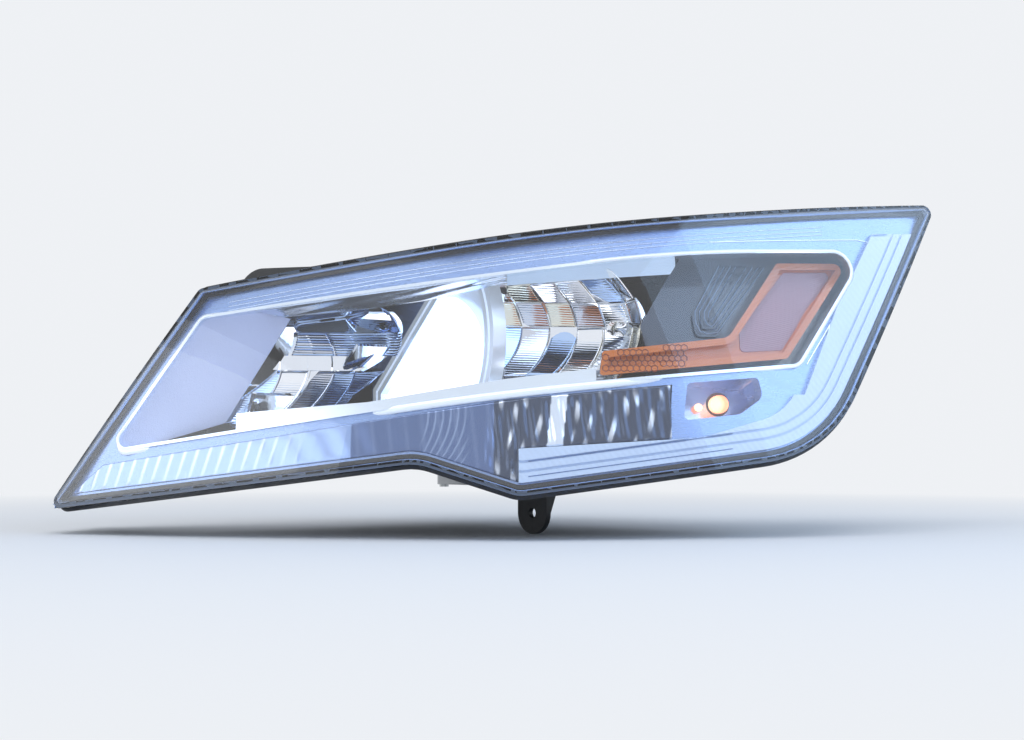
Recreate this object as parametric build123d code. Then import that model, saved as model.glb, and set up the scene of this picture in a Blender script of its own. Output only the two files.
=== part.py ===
# Left headlamp unit of a patrol car, in millimetres.
# +X points forward along the beam, +Y to the car's left (outboard), +Z up.
# The origin is midway between the two upper screw holes, on the top face of their tabs.
#
# The front skin is a barrel-shaped surface turned about one upright axis behind the lamp, so every
# layer behind it is the same arc turned at a smaller radius. A layer is named by its depth below the skin.
# Outlines are drawn on the draw plane, whose axes are s (level, outboard) and z (up), and are cut
# straight through the layers along the draw direction.
import os
from math import cos, radians, sin, sqrt, pi

from build123d import *

# Front skin
SKIN_MIDDLE_X = 91.33        # the skin's middle, where the outlines' zero line meets it
SKIN_MIDDLE_Y = 117.21
SKIN_RADIUS = 565.0          # at height SKIN_REF_Z
SKIN_REF_Z = -106.0
SKIN_RAKE = 14.0             # degrees that the skin leans back
SKIN_CROWN = 1200.0          # radius of the upright arc
SKIN_LOW_Z = -225.0
SKIN_HIGH_Z = 65.0
DRAW_ANGLE = 47.0            # degrees from +X towards +Y
DRAW_REACH = 330.0           # how far a cut runs each way along the draw direction
OUTLINE_ZERO = -8.0          # height of the outlines' zero line

# Lens
LENS_WALL = 3.0
SKIRT_DEPTH = 24.0           # depth of the end of the lens's skirt

# Housing
WALL = 2.5
TRAY_GAP = 1.0               # between the skirt and the tray's wall
TRAY_FRONT = 10.0            # depth at which the tray's wall starts
TRAY_BACK = 72.0             # depth of the inner face of the tray's back
CHANNEL_WALL = 2.6
CHANNEL_GAP = 0.4
CHANNEL_FRONT = 17.0
SEALANT_DEPTH = 3.0
REAR_X = -100.0              # outer face of the rear wall
REAR_Y = (-105.0, 130.0)     # outer faces of the rear body
REAR_Z = (-152.0, -16.0)
REAR_CORNER = 12.0
HUMP_Y = (68.0, 130.0)       # raised part of the rear body over the outboard reflector
HUMP_TOP = -8.0
RIB_THICKNESS = 2.0
RIB_HEIGHT = 4.0
RIB_YS = (-92.0, 25.0, 120.0)
RIB_Z = -132.0

# Upper tabs and the screws' holes
TAB_SPACING = 100.0
TAB_THICKNESS = 4.0
TAB_WIDTH = 24.0
TAB_FORWARD = 26.0           # how far a tab runs forward of its hole
SCREW_RADIUS = 3.5           # clearance hole of an M6 screw
GUSSET_THICKNESS = 2.5

# Lower bracket, hung from the rear body
BRACKET_X = 20.0             # rear face
BRACKET_Y = 78.0
BRACKET_HOLE_Z = -186.0
BRACKET_WIDTH = 28.0
BRACKET_THICKNESS = 4.0
BRACKET_BRACE = 14.0

# Tail pin
PIN_RADIUS = 4.0
PIN_LENGTH = 16.0
PIN_TIP = 1.5
PIN_Y = 148.0
PIN_Z = -4.0
PIN_FACE_X = -232.0
PIN_BLOCK = 24.0

# Inner trim, by depth below the skin
TRIM_DEPTH = 12.0
TRIM_WALL = 2.5
TRIM_SKIRT = 34.0            # depth of the end of the trim's outer edge
SURROUND_FRONT = 10.5
SURROUND_WALL = 2.0
SURROUND_BACK = 31.0
TRIM_FIT = 0.5               # left between neighbouring pieces of trim
BROW_THICKNESS = 2.0         # flange on the back edge of the surround, above and below the reflectors
STRIP_DEPTH = 11.0
FLUTE_WIDTH = 3.0
FLUTE_HEIGHT = 1.5
FLUTE_PITCH = 9.0
FLUTE_LEAN = 4.0             # how far a flute's top stands outboard of its foot
GUIDE_INSET = 8.0
GUIDE_FRONT = 8.0
GUIDE_BACK = 17.0
GUIDE_GROOVES = (6.0, 12.0)  # how far the grooves lie in from the guide's outer edge
GUIDE_GROOVE_WIDTH = 1.6
DARK_TRIM_DEPTH = 38.0
DARK_TRIM_WALL = 2.5
DARK_RINGS = 3               # nested ridges
DARK_RING_PITCH = 5.5
DARK_RING_WIDTH = 1.4
AMBER_FRONT = 24.0
AMBER_BACK = 38.0
AMBER_RIM = 4.5
AMBER_STEP = 4.0
PANEL_WALL = 2.5
TURN_BACK = 52.0             # depth of the back of the turn lamp's cup
TURN_S, TURN_Z = 146.0, -106.0
TURN_SOCKET_RADIUS = 8.0
TURN_BULB_RADIUS = 6.0

# Aim frame and its pivots
PIVOT_X = -62.0
PIVOT_Z = -38.0
PIVOT_YS = (-84.0, 108.0)
BALL_RADIUS = 5.0
BALL_CLEARANCE = 0.05
SOCKET_WALL = 3.0
STUD_RADIUS = 3.0
STUD_MOUTH = 4.4             # radius of the socket's mouth round the stud
FRAME_X = (-52.0, -48.0)
FRAME_Y = (-96.0, 121.0)
FRAME_Z = (-144.0, -27.0)
FRAME_CORNER = 10.0
FRAME_OPENINGS = (            # y, z, width and height of the openings that make it lighter
    (-38, -84, 34, 46),
    (12.5, -76, 34, 44),
    (66, -68, 22, 26),
    (20, -130, 150, 10),
)
OPENING_CORNER = 4.5
AIM_SCREW_Y = -84.0
AIM_SCREW_Z = -133.0
AIM_BALL_RADIUS = 4.0
AIM_SLEEVE_BORE = 5.2
AIM_SLEEVE_WALL = 2.5
AIM_SLEEVE_LENGTH = 18.0
AIM_SHANK_RADIUS = 2.5

# Reflector cells. Outlines are looked at from behind, y and z with a corner radius. A cell's surface is
# part of a paraboloid, cut into facets by the named column lines (y) and row lines (z).
REFLECTOR_WALL = 2.0
FACET_STEP = 2.2             # how far neighbouring facets stand apart
FACET_GAP = 0.4              # between a far facet and its grid lines
POST_RADIUS = 3.5
DISH_ARC = (20.0, 40.0, 60.0, 80.0, 110.0)   # radii that a paraboloid's curve is drawn through
DISH_REACH = 150.0
INBOARD_Y, INBOARD_Z = -10.0, -84.0
INBOARD_VERTEX = 56.0
INBOARD_FOCUS = 12.5
INBOARD_DEPTH = 58.0         # depth of the front rim
INBOARD_CORNERS = [(-80, -127, 6), (-62, -127, 5), (-62, -105, 4), (6, -43, 5), (-60, -57, 5)]
INBOARD_COLUMN_LINES = (-90, -74.5, -67.5, -59, -51, -43, 14)
INBOARD_ROW_LINES = (-134, -84, -63.5, -28)
INBOARD_POSTS = ((-74, -114), (-62, -84), (-42, -54))
LEDGE_Z = (-89.0, -79.0)     # band across the inboard cell
LEDGE_STEPS = (4.0, 5.2)     # how far its segments stand off the facets, in turn
OUTBOARD_Y, OUTBOARD_Z = 106.0, -62.0
OUTBOARD_VERTEX = -43.0
OUTBOARD_FOCUS = 11.0
OUTBOARD_DEPTH = 50.0
OUTBOARD_CORNERS = [(44, -106, 8), (131, -106, 12), (131, -22, 10), (44, -36, 8)]
OUTBOARD_COLUMN_LINES = (40, 57, 66, 76, 89, 109, 136)
OUTBOARD_ROW_LINES = (-110, -94, -60, -44, -18)
OUTBOARD_POSTS = ((62, -90), (108, -90), (92, -42))

# Light source board of the inboard cell, on a short wall along the cell's slanted edge
BOARD_SPAN = (32.0, 48.0)    # along the edge, from its lower end
BOARD_X = (79.0, 91.0)
BOARD_THICKNESS = 1.6
BOARD_WALL_X = 92.5
EMITTER = 4.0

# Projector. Its lens and its frame are D-shaped, with a slanted inboard edge.
PROJECTOR_Y = 12.5
PROJECTOR_Z = -76.0
RING_SLANT = ((17.5, -40.0), (-45.5, -105.0))   # inner edge of the frame's slanted bar, top and bottom
RING_TOP = -34.0
RING_FOOT = -116.0
RING_SIDE_Y = 57.5
RING_BULGE_Y = 65.5
RING_WIDTH = 9.0
RING_GROOVE = 1.6            # depth of the groove between the frame's two front edges
RING_X = (46.0, 55.5)
RING_FLOOR_X = (44.0, 46.5)
RING_ROOF = -30.5            # top of the frame
RING_WING = 19.0             # how far the floor runs beside the slanted bar
LENS_GAP = 4.5               # between the lens and the frame's inner edge
LENS_FIT = 0.2
LENS_TOP = -38.5
LENS_SIDE_Y = 55.5
LENS_ROUND = 42.0            # radius of the lens's upper outboard corner
LENS_BACK_X = 40.0
LENS_FRONT_X = 57.0
LENS_BALL = 600.0            # radius of the lens's front
BARREL_X = (34.0, 44.0)
BARREL_WALL = 2.5
PROJECTOR_CLEARANCE = 3.0    # left round the barrel in the outboard reflector
FRAME_CLEARANCE = 1.0        # left round the frame there, and behind both
SOURCE_X = (-16.0, 34.0)
SOURCE_HALF = 19.0
SINK_X = (-42.0, -16.0)
SINK_HALF = 21.0
SINK_FIN = 2.0
SINK_FINS = 8
SINK_BASE = 4.0
PROJECTOR_POSTS = ((-14, -101), (37, -101), (37, -51))

# Bulb of the outboard reflector
BULB_HOLE = 9.0              # radius of its hole in the reflector and the frame
BULB_RADIUS = 5.0
BULB_LENGTH = 22.0

# Back of the housing
CAP_CENTRES = ((-30.0, -84.0), (86.0, -72.0))
CAP_RADIUS = 38.0
CAP_SEAT = 33.0              # radius of the opening in the rear wall
CAP_COLLAR = 36.0
CAP_DEPTH = 8.0
CAP_GRIPS = 16
CAP_BAR = (12.0, 56.0, 7.0)  # width, length and height of the bar across a cap's back
DRIVER_X = (-84.0, -8.0)
DRIVER_Y = (-62.0, 42.0)
DRIVER_HEIGHT = 18.0
DRIVER_FINS = 11
CONNECTOR_Y = 25.0
CONNECTOR_Z = -34.0
CONNECTOR_SIZE = (24.0, 34.0, 18.0)
CONNECTOR_WALL = 2.0
CONNECTOR_PINS = 5
VENT_YS = (-78.0, 108.0)
VENT_Z = -112.0
VENT_RADIUS = 7.0

DRAW = Vector(cos(radians(DRAW_ANGLE)), sin(radians(DRAW_ANGLE)), 0)
ALONG = Vector(-sin(radians(DRAW_ANGLE)), cos(radians(DRAW_ANGLE)), 0)
SKIN_MIDDLE = Vector(SKIN_MIDDLE_X, SKIN_MIDDLE_Y, 0)
AXIS_POINT = SKIN_MIDDLE - DRAW * SKIN_RADIUS
DRAW_PLANE = Plane(origin=SKIN_MIDDLE + Vector(0, 0, OUTLINE_ZERO), x_dir=ALONG, z_dir=DRAW)
BEAM = Plane(origin=(0, 0, 0), x_dir=(0, 1, 0), z_dir=(1, 0, 0))   # y and z as drawn, run forward

# Outlines on the draw plane: s, z, corner radius
LENS_CORNERS = [
    (-301.5, -176.0, 5.0),
    (-50.0, -144.0, 40.0),
    (14.0, -164.5, 22.0),
    (214.0, -138.0, 85.0),
    (310.5, 38.0, 6.0),
    (46.0, 9.5, 3000.0),
    (-198.0, -29.0, 6.0),
]
WINDOW_CORNERS = [
    (-196.0, -49.0, 8.0),
    (-257.0, -136.0, 5.0),
    (6.0, -97.0, 2500.0),
    (197.0, -79.5, 8.0),
    (250.0, -1.5, 12.0),
    (116.0, -7.5, 1200.0),
]
GUIDE_INNER_CORNERS = [
    (12, -135, 2),
    (130, -128, 60),
    (186, -112, 40),
    (258, 14, 3),
    (250, 60, 5),
    (-60, 60, 5),
    (-60, -135, 5),
]
GUIDE_REGION = [(14, -210), (14, -100), (200, -100), (250, 12), (330, 18), (330, -210)]
STRIP_REGION = [(-305, -182), (-262, -146), (6, -104), (112, -94), (104, -215), (-305, -215)]
TURN_CORNERS = [(122, -93, 3), (119, -117, 3), (156, -113, 7), (172, -102, 7), (169, -89, 3)]
DARK_TRIM_REGION = [
    (97, -120),
    (97, -67),
    (94, -54),
    (112, -23),
    (121, -9),
    (126, 20),
    (300, 20),
    (300, -120),
]
DARK_PAD_CORNERS = [(149, -10, 3), (129, -47, 6), (131, -61, 5), (147, -61, 8), (183, -10, 3)]
BROW_REGION = [(6, 60), (6, -28), (118, -19), (118, 60)]
SILL_REGION = [(-172, -160), (-172, -112), (-84, -105), (6, -90), (64, -83), (64, -160)]
PANEL_REGION = [(-215, -30), (-140, -48), (-184, -118), (-290, -150)]
AMBER_CORNERS = [
    (66.0, -88.0, 2.0),
    (192.0, -75.5, 4.0),
    (240.0, -8.0, 5.0),
    (188.0, -10.0, 3.0),
    (152.0, -62.0, 10.0),
    (68.0, -72.0, 2.0),
]


def rounded(corners):
    """A face from a table of x, y and corner radius."""
    line = FilletPolyline(*[(a, b) for a, b, _ in corners], radius=[r for _, _, r in corners], close=True)
    return make_face(line)


def sharp(points):
    """A face from plain corners."""
    return make_face(Polyline(*points, close=True))


def grow(face, amount):
    """The face with its outline moved outwards, or inwards if the amount is negative."""
    return offset(face, amount=amount, kind=Kind.INTERSECTION) if amount else face


def through(face):
    """A face of the draw plane run through the lamp along the draw direction."""
    return extrude(DRAW_PLANE * face, amount=DRAW_REACH, both=True)


def skin_reach(depth, z):
    """Distance from the skin's axis to the layer at this depth, at height z."""
    centre_r = SKIN_RADIUS - SKIN_CROWN * cos(radians(SKIN_RAKE))
    centre_z = SKIN_REF_Z - SKIN_CROWN * sin(radians(SKIN_RAKE))
    return centre_r + sqrt((SKIN_CROWN - depth) ** 2 - (z - centre_z) ** 2)


def skin_point(s, z, depth):
    """The point of a layer that lies on the draw line through s and z of the outlines."""
    height = z + OUTLINE_ZERO
    reach = skin_reach(depth, height)
    forward = sqrt(reach * reach - s * s)
    return AXIS_POINT + ALONG * s + DRAW * forward + Vector(0, 0, height)


def skin_arc(depth):
    """The upright arc of a layer, in the plane of radius and height."""
    heights = (SKIN_LOW_Z, (SKIN_LOW_Z + SKIN_HIGH_Z) / 2, SKIN_HIGH_Z)
    return ThreePointArc(*[(skin_reach(depth, z), z) for z in heights])


def turned(face):
    """A face of radius and height turned about the skin's axis over the lamp's width."""
    upright = Plane(origin=AXIS_POINT, x_dir=(1, 0, 0), z_dir=(0, -1, 0))
    return revolve(upright * face, axis=Axis(AXIS_POINT, (0, 0, 1)), revolution_arc=105)


def layer(front, back):
    """Everything between two depths below the skin."""
    outer, inner = skin_arc(front), skin_arc(back)
    ends = [Line(outer @ 0, inner @ 0), Line(outer @ 1, inner @ 1)]
    return turned(make_face(Wire([outer.edge(), inner.edge()] + [e.edge() for e in ends])))


def behind(depth):
    """Everything behind a depth below the skin, as far as the skin's axis."""
    arc = skin_arc(depth)
    core = 40.0
    foot, head = (core, SKIN_LOW_Z), (core, SKIN_HIGH_Z)
    edges = [arc, Line(arc @ 0, foot), Line(foot, head), Line(head, arc @ 1)]
    return turned(make_face(Wire([e.edge() for e in edges])))


def box(x, y, z):
    """A box from three pairs of limits."""
    size = [b - a for a, b in (x, y, z)]
    middle = [(a + b) / 2 for a, b in (x, y, z)]
    return Pos(*middle) * Box(*size)


def rod(start, direction, radius, length):
    """A round bar from a point along a direction."""
    return extrude(Plane(origin=start, z_dir=direction) * Circle(radius), amount=length)


def ring(start, direction, outer, inner, length):
    """A tube from a point along a direction."""
    return rod(start, direction, outer, length) - rod(start, direction, inner, length)


LENS_FACE = rounded(LENS_CORNERS)
WINDOW_FACE = rounded(WINDOW_CORNERS)
TRAY_OUTSIDE = LENS_WALL + TRAY_GAP
TRAY_INSIDE = TRAY_OUTSIDE + WALL


def guide_face():
    """C-shaped band along the lens's outer and lower edge, wide outboard and narrow below."""
    band = grow(LENS_FACE, -GUIDE_INSET) - rounded(GUIDE_INNER_CORNERS)
    return (band & sharp(GUIDE_REGION)) - grow(WINDOW_FACE, SURROUND_WALL + TRIM_FIT)


def strip_face():
    """Fluted strip between the window and the lens's lower edge."""
    return (grow(LENS_FACE, -GUIDE_INSET) & sharp(STRIP_REGION)) - guide_face()


def outer_lens():
    shell = layer(0, LENS_WALL) & through(LENS_FACE)
    skirt = layer(0, SKIRT_DEPTH) & through(LENS_FACE - grow(LENS_FACE, -LENS_WALL))
    return shell + skirt


def sealant():
    """Bead of sealant in the bottom of the housing's channel."""
    bead = grow(LENS_FACE, CHANNEL_GAP) - grow(LENS_FACE, -TRAY_OUTSIDE)
    return layer(SKIRT_DEPTH, SKIRT_DEPTH + SEALANT_DEPTH) & through(bead)


def rear_block(inset):
    """The rear body as a solid block with rounded long edges, or its hollow if inset."""
    blocks = []
    for (y0, y1), (z0, z1) in ((REAR_Y, REAR_Z), (HUMP_Y, (REAR_Z[0], HUMP_TOP))):
        middle = Pos((y0 + y1) / 2, (z0 + z1) / 2)
        section = RectangleRounded(y1 - y0 - 2 * inset, z1 - z0 - 2 * inset, REAR_CORNER - inset)
        blocks.append(extrude(BEAM.offset(REAR_X + inset) * middle * section, amount=DRAW_REACH))
    return blocks[0] + blocks[1]


def upper_tabs():
    """Two tabs that stand off the roof of the rear body, each on a pair of gussets."""
    tabs = []
    for side in (-1, 1):
        y = side * TAB_SPACING / 2
        plate = box((0, TAB_FORWARD), (y - TAB_WIDTH / 2, y + TAB_WIDTH / 2), (-TAB_THICKNESS, 0))
        plate += Pos(0, y, -TAB_THICKNESS / 2) * Cylinder(TAB_WIDTH / 2, TAB_THICKNESS)
        for edge in (-1, 1):
            g = y + edge * (TAB_WIDTH - GUSSET_THICKNESS) / 2
            half = GUSSET_THICKNESS / 2
            side_view = Polyline((-2, -TAB_THICKNESS), (TAB_FORWARD, -TAB_THICKNESS),
                                 (TAB_FORWARD, REAR_Z[1] - 1), (-16, REAR_Z[1] - 1), close=True)
            plate += extrude(Plane.XZ.offset(-g - half) * make_face(side_view), amount=GUSSET_THICKNESS)
        plate -= Pos(0, y, 0) * Cylinder(SCREW_RADIUS, 4 * TAB_THICKNESS)
        tabs.append(plate)
    return tabs


def lower_bracket():
    """A lug with one screw hole along X, hung under the rear body on two braces."""
    top = REAR_Z[0] + 1
    lug = BEAM.offset(BRACKET_X) * make_face(Polyline(
        (BRACKET_Y - BRACKET_WIDTH / 2, top), (BRACKET_Y + BRACKET_WIDTH / 2, top),
        (BRACKET_Y + BRACKET_WIDTH / 2, BRACKET_HOLE_Z), (BRACKET_Y - BRACKET_WIDTH / 2, BRACKET_HOLE_Z),
        close=True))
    bracket = extrude(lug, amount=BRACKET_THICKNESS)
    bracket += rod((BRACKET_X, BRACKET_Y, BRACKET_HOLE_Z), (1, 0, 0), BRACKET_WIDTH / 2, BRACKET_THICKNESS)
    for edge in (-1, 1):
        g = BRACKET_Y + edge * (BRACKET_WIDTH - GUSSET_THICKNESS) / 2
        side_view = Polyline((BRACKET_X, top), (BRACKET_X - BRACKET_BRACE, top),
                             (BRACKET_X, BRACKET_HOLE_Z), close=True)
        bracket += extrude(Plane.XZ.offset(-g - GUSSET_THICKNESS / 2) * make_face(side_view),
                           amount=GUSSET_THICKNESS)
    return bracket - rod((BRACKET_X - 1, BRACKET_Y, BRACKET_HOLE_Z), (1, 0, 0), SCREW_RADIUS, 6)


def tail_pin():
    """A block on the tray's back near the tail, with a pin that points backwards."""
    block = box((PIN_FACE_X, PIN_FACE_X + 60), (PIN_Y - PIN_BLOCK / 2, PIN_Y + PIN_BLOCK / 2),
                (PIN_Z - PIN_BLOCK / 2, PIN_Z + PIN_BLOCK / 2)) & behind(TRAY_BACK + 1)
    pin = rod((PIN_FACE_X + 1, PIN_Y, PIN_Z), (-1, 0, 0), PIN_RADIUS, PIN_LENGTH + 1)
    return block + chamfer(pin.faces().sort_by(Axis.X)[0].edges(), PIN_TIP)


def rear_ribs():
    """Upright and level ribs on the rear wall."""
    x = (REAR_X - RIB_HEIGHT, REAR_X + 0.5)
    half = RIB_THICKNESS / 2
    ribs = [box(x, (y - half, y + half), (REAR_Z[0] + 6, REAR_Z[1] - 6)) for y in RIB_YS]
    ribs.append(box(x, (REAR_Y[0] + 6, REAR_Y[1] - 6), (RIB_Z - half, RIB_Z + half)))
    w, h = CONNECTOR_SIZE[1] / 2, CONNECTOR_SIZE[2] / 2
    y, z = (CONNECTOR_Y - w, CONNECTOR_Y + w), (CONNECTOR_Z - h, CONNECTOR_Z + h)
    plug_room = box((REAR_X - 20, REAR_X), y, z)
    return [rib - plug_room for rib in ribs]


def turn_cup(inset, back):
    """The turn lamp's cup as a solid plug, smaller by the inset."""
    return layer(TRIM_DEPTH + TRIM_WALL, back) & through(grow(rounded(TURN_CORNERS), 3 - inset))


def housing():
    inner_face = grow(LENS_FACE, -TRAY_INSIDE)
    tray = layer(TRAY_FRONT, TRAY_BACK + WALL) & through(grow(LENS_FACE, -TRAY_OUTSIDE))
    rear = rear_block(0) & behind(TRAY_BACK - WALL)
    hollow = rear_block(WALL)
    floor = layer(SKIRT_DEPTH + SEALANT_DEPTH, SKIRT_DEPTH + SEALANT_DEPTH + WALL)
    flange_face = grow(LENS_FACE, CHANNEL_GAP + CHANNEL_WALL)
    body = tray + rear
    body -= layer(0, TRAY_BACK) & through(inner_face)
    body -= hollow & layer(TRAY_BACK - 4, TRAY_BACK + 8) & through(inner_face)
    body -= hollow & behind(TRAY_BACK)
    body += floor & through(flange_face - grow(LENS_FACE, -TRAY_OUTSIDE))
    body += layer(CHANNEL_FRONT, SKIRT_DEPTH + SEALANT_DEPTH) & through(
        flange_face - grow(LENS_FACE, CHANNEL_GAP))
    for piece in upper_tabs() + rear_ribs() + [lower_bracket(), tail_pin()]:
        body += piece
    for y, z in CAP_CENTRES:
        body += rod((REAR_X - RIB_HEIGHT, y, z), (1, 0, 0), CAP_COLLAR, RIB_HEIGHT + WALL)
        body -= rod((REAR_X - 20, y, z), (1, 0, 0), CAP_SEAT, 20 + 2 * WALL)
    for y in PIVOT_YS:
        body -= rod((REAR_X - 10, y, PIVOT_Z), (1, 0, 0), STUD_RADIUS, 20)
    body -= rod((REAR_X - 10, AIM_SCREW_Y, AIM_SCREW_Z), (1, 0, 0), AIM_SHANK_RADIUS, 20)
    for y in VENT_YS:
        body += rod((REAR_X - 8, y, VENT_Z), (1, 0, 0), VENT_RADIUS - 2, 9)
    return body


def bezel_frame():
    """The pale trim round the window, with its edge run back along the tray's wall."""
    outside = grow(LENS_FACE, -TRAY_INSIDE)
    opening = grow(WINDOW_FACE, SURROUND_WALL)
    sheet = layer(TRIM_DEPTH, TRIM_DEPTH + TRIM_WALL) & through(outside - opening)
    edge = layer(TRIM_DEPTH, TRIM_SKIRT) & through(outside - grow(LENS_FACE, -TRAY_INSIDE - TRIM_WALL))
    frame = sheet + edge - through(guide_face() + strip_face()) - through(rounded(TURN_CORNERS))
    return frame


def window_surround():
    """Bright lip round the window, run back as a tub's walls, deepest outboard where the dark trim sits."""
    whole = grow(WINDOW_FACE, SURROUND_WALL)
    wall = whole - WINDOW_FACE
    tub = layer(SURROUND_FRONT, SURROUND_BACK) & through(wall)
    tub += layer(SURROUND_FRONT, DARK_TRIM_DEPTH + DARK_TRIM_WALL) & through(wall & sharp(DARK_TRIM_REGION))
    for region in (BROW_REGION, SILL_REGION):
        flange = (whole & sharp(region)) - sharp(DARK_TRIM_REGION) - grow(rounded(AMBER_CORNERS), TRIM_FIT)
        tub += layer(SURROUND_BACK - BROW_THICKNESS, SURROUND_BACK) & through(flange)
    return tub


def fluted_strip():
    face = strip_face()
    strip = layer(STRIP_DEPTH, STRIP_DEPTH + TRIM_WALL) & through(face)
    flutes = []
    s = -292.0
    while s < 108:
        flutes.append(Pos(s, -135) * make_face(Polyline(
            (-FLUTE_WIDTH / 2, -60), (FLUTE_WIDTH / 2, -60),
            (FLUTE_WIDTH / 2 + FLUTE_LEAN, 60), (-FLUTE_WIDTH / 2 + FLUTE_LEAN, 60), close=True)))
        s += FLUTE_PITCH
    raised = grow(face, -2.5) & Sketch() + flutes
    return strip + (layer(STRIP_DEPTH - FLUTE_HEIGHT, STRIP_DEPTH + 0.5) & through(raised))


def light_guide():
    """C-shaped guide along the lens's lower and outer edge, with grooves along it."""
    face = guide_face()
    guide = layer(GUIDE_FRONT, GUIDE_BACK) & through(face)
    for reach in GUIDE_GROOVES:
        inset = -GUIDE_INSET - reach
        line = grow(LENS_FACE, inset) - grow(LENS_FACE, inset - GUIDE_GROOVE_WIDTH)
        guide -= layer(GUIDE_FRONT - 1, GUIDE_FRONT + 1.5) & through(line & face)
    return guide


def inboard_panel():
    """Flat panel that slants back from the window's inboard edge to the inboard cell."""
    corners = [skin_point(-196, -49, 18), skin_point(-257, -136, 18), skin_point(-163, -85, 47)]
    middle = (corners[0] + corners[1] + corners[2]) / 3
    normal = (corners[1] - corners[0]).cross(corners[2] - corners[0]).normalized()
    if normal.X < 0:
        normal = -normal
    slab = Plane(origin=middle - normal * PANEL_WALL, z_dir=normal) * Pos(0, 0, PANEL_WALL / 2) * Box(
        400, 400, PANEL_WALL)
    return slab & through(WINDOW_FACE & sharp(PANEL_REGION))


def dark_trim():
    """Dark panel across the outboard end of the window, with nested ridges beside the amber reflector."""
    face = WINDOW_FACE & sharp(DARK_TRIM_REGION)
    panel = layer(DARK_TRIM_DEPTH, DARK_TRIM_DEPTH + DARK_TRIM_WALL) & through(face)
    pad = rounded(DARK_PAD_CORNERS)
    for i in range(DARK_RINGS):
        ridge = grow(pad, -i * DARK_RING_PITCH) - grow(pad, -i * DARK_RING_PITCH - DARK_RING_WIDTH)
        panel += layer(DARK_TRIM_DEPTH - 2, DARK_TRIM_DEPTH + 0.5) & through(ridge)
    return panel


def amber_reflector():
    """L-shaped amber reflector with a raised rim round a sunk panel."""
    face = rounded(AMBER_CORNERS)
    solid = layer(AMBER_FRONT, AMBER_BACK) & through(face)
    pocket = layer(AMBER_FRONT - 1, AMBER_FRONT + AMBER_STEP) & through(grow(face, -AMBER_RIM))
    return solid - pocket


def turn_reflector():
    """Open cup behind the clear patch under the window."""
    wall = 1.8
    cup = turn_cup(0, TURN_BACK) - (
        layer(0, TURN_BACK - wall) & through(grow(rounded(TURN_CORNERS), 3 - wall)))
    centre = skin_point(TURN_S, TURN_Z, TURN_BACK)
    return cup - rod(centre - DRAW * 20, DRAW, TURN_SOCKET_RADIUS, 40)


def turn_bulb_socket():
    centre = skin_point(TURN_S, TURN_Z, TURN_BACK)
    socket = rod(centre - DRAW * 14, DRAW, TURN_SOCKET_RADIUS, 14)
    return socket + rod(centre - DRAW * 14, DRAW, TURN_SOCKET_RADIUS + 2, 10)


def turn_bulb():
    """Glass envelope of the turn lamp, a cylinder with a round end."""
    foot = skin_point(TURN_S, TURN_Z, TURN_BACK)
    glass = rod(foot, DRAW, TURN_BULB_RADIUS, 14)
    tip = foot + DRAW * 14
    return glass + Pos(*tip) * Sphere(TURN_BULB_RADIUS)


def pivot_studs():
    """Two ball studs that the aim frame hangs on."""
    studs = []
    for y in PIVOT_YS:
        ball = Pos(PIVOT_X, y, PIVOT_Z) * Sphere(BALL_RADIUS)
        shank = rod((REAR_X - 3, y, PIVOT_Z), (1, 0, 0), STUD_RADIUS, PIVOT_X - REAR_X + 3)
        collar = rod((REAR_X + WALL, y, PIVOT_Z), (1, 0, 0), STUD_RADIUS + 4, 5)
        studs.append(ball + shank + collar)
    return studs


def aim_screw():
    """Adjuster screw: threaded shank through the rear wall, a ball inside and a toothed wheel outside."""
    end = FRAME_X[0] - AIM_SLEEVE_LENGTH / 2
    screw = rod((REAR_X - 8, AIM_SCREW_Y, AIM_SCREW_Z), (1, 0, 0), AIM_SHANK_RADIUS, end - REAR_X + 8)
    screw += Pos(end, AIM_SCREW_Y, AIM_SCREW_Z) * Sphere(AIM_BALL_RADIUS)
    screw += rod((REAR_X + WALL, AIM_SCREW_Y, AIM_SCREW_Z), (1, 0, 0), 6, 8)
    wheel = rod((REAR_X - 14, AIM_SCREW_Y, AIM_SCREW_Z), (1, 0, 0), 9, 8)
    for i in range(12):
        a = i * pi / 6
        wheel -= rod((REAR_X - 15, AIM_SCREW_Y + 9 * cos(a), AIM_SCREW_Z + 9 * sin(a)), (1, 0, 0), 1.3, 10)
    socket = BEAM.offset(REAR_X - 15) * Pos(AIM_SCREW_Y, AIM_SCREW_Z) * RegularPolygon(3, 6)
    wheel -= extrude(socket, amount=6)
    return screw + wheel


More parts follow.
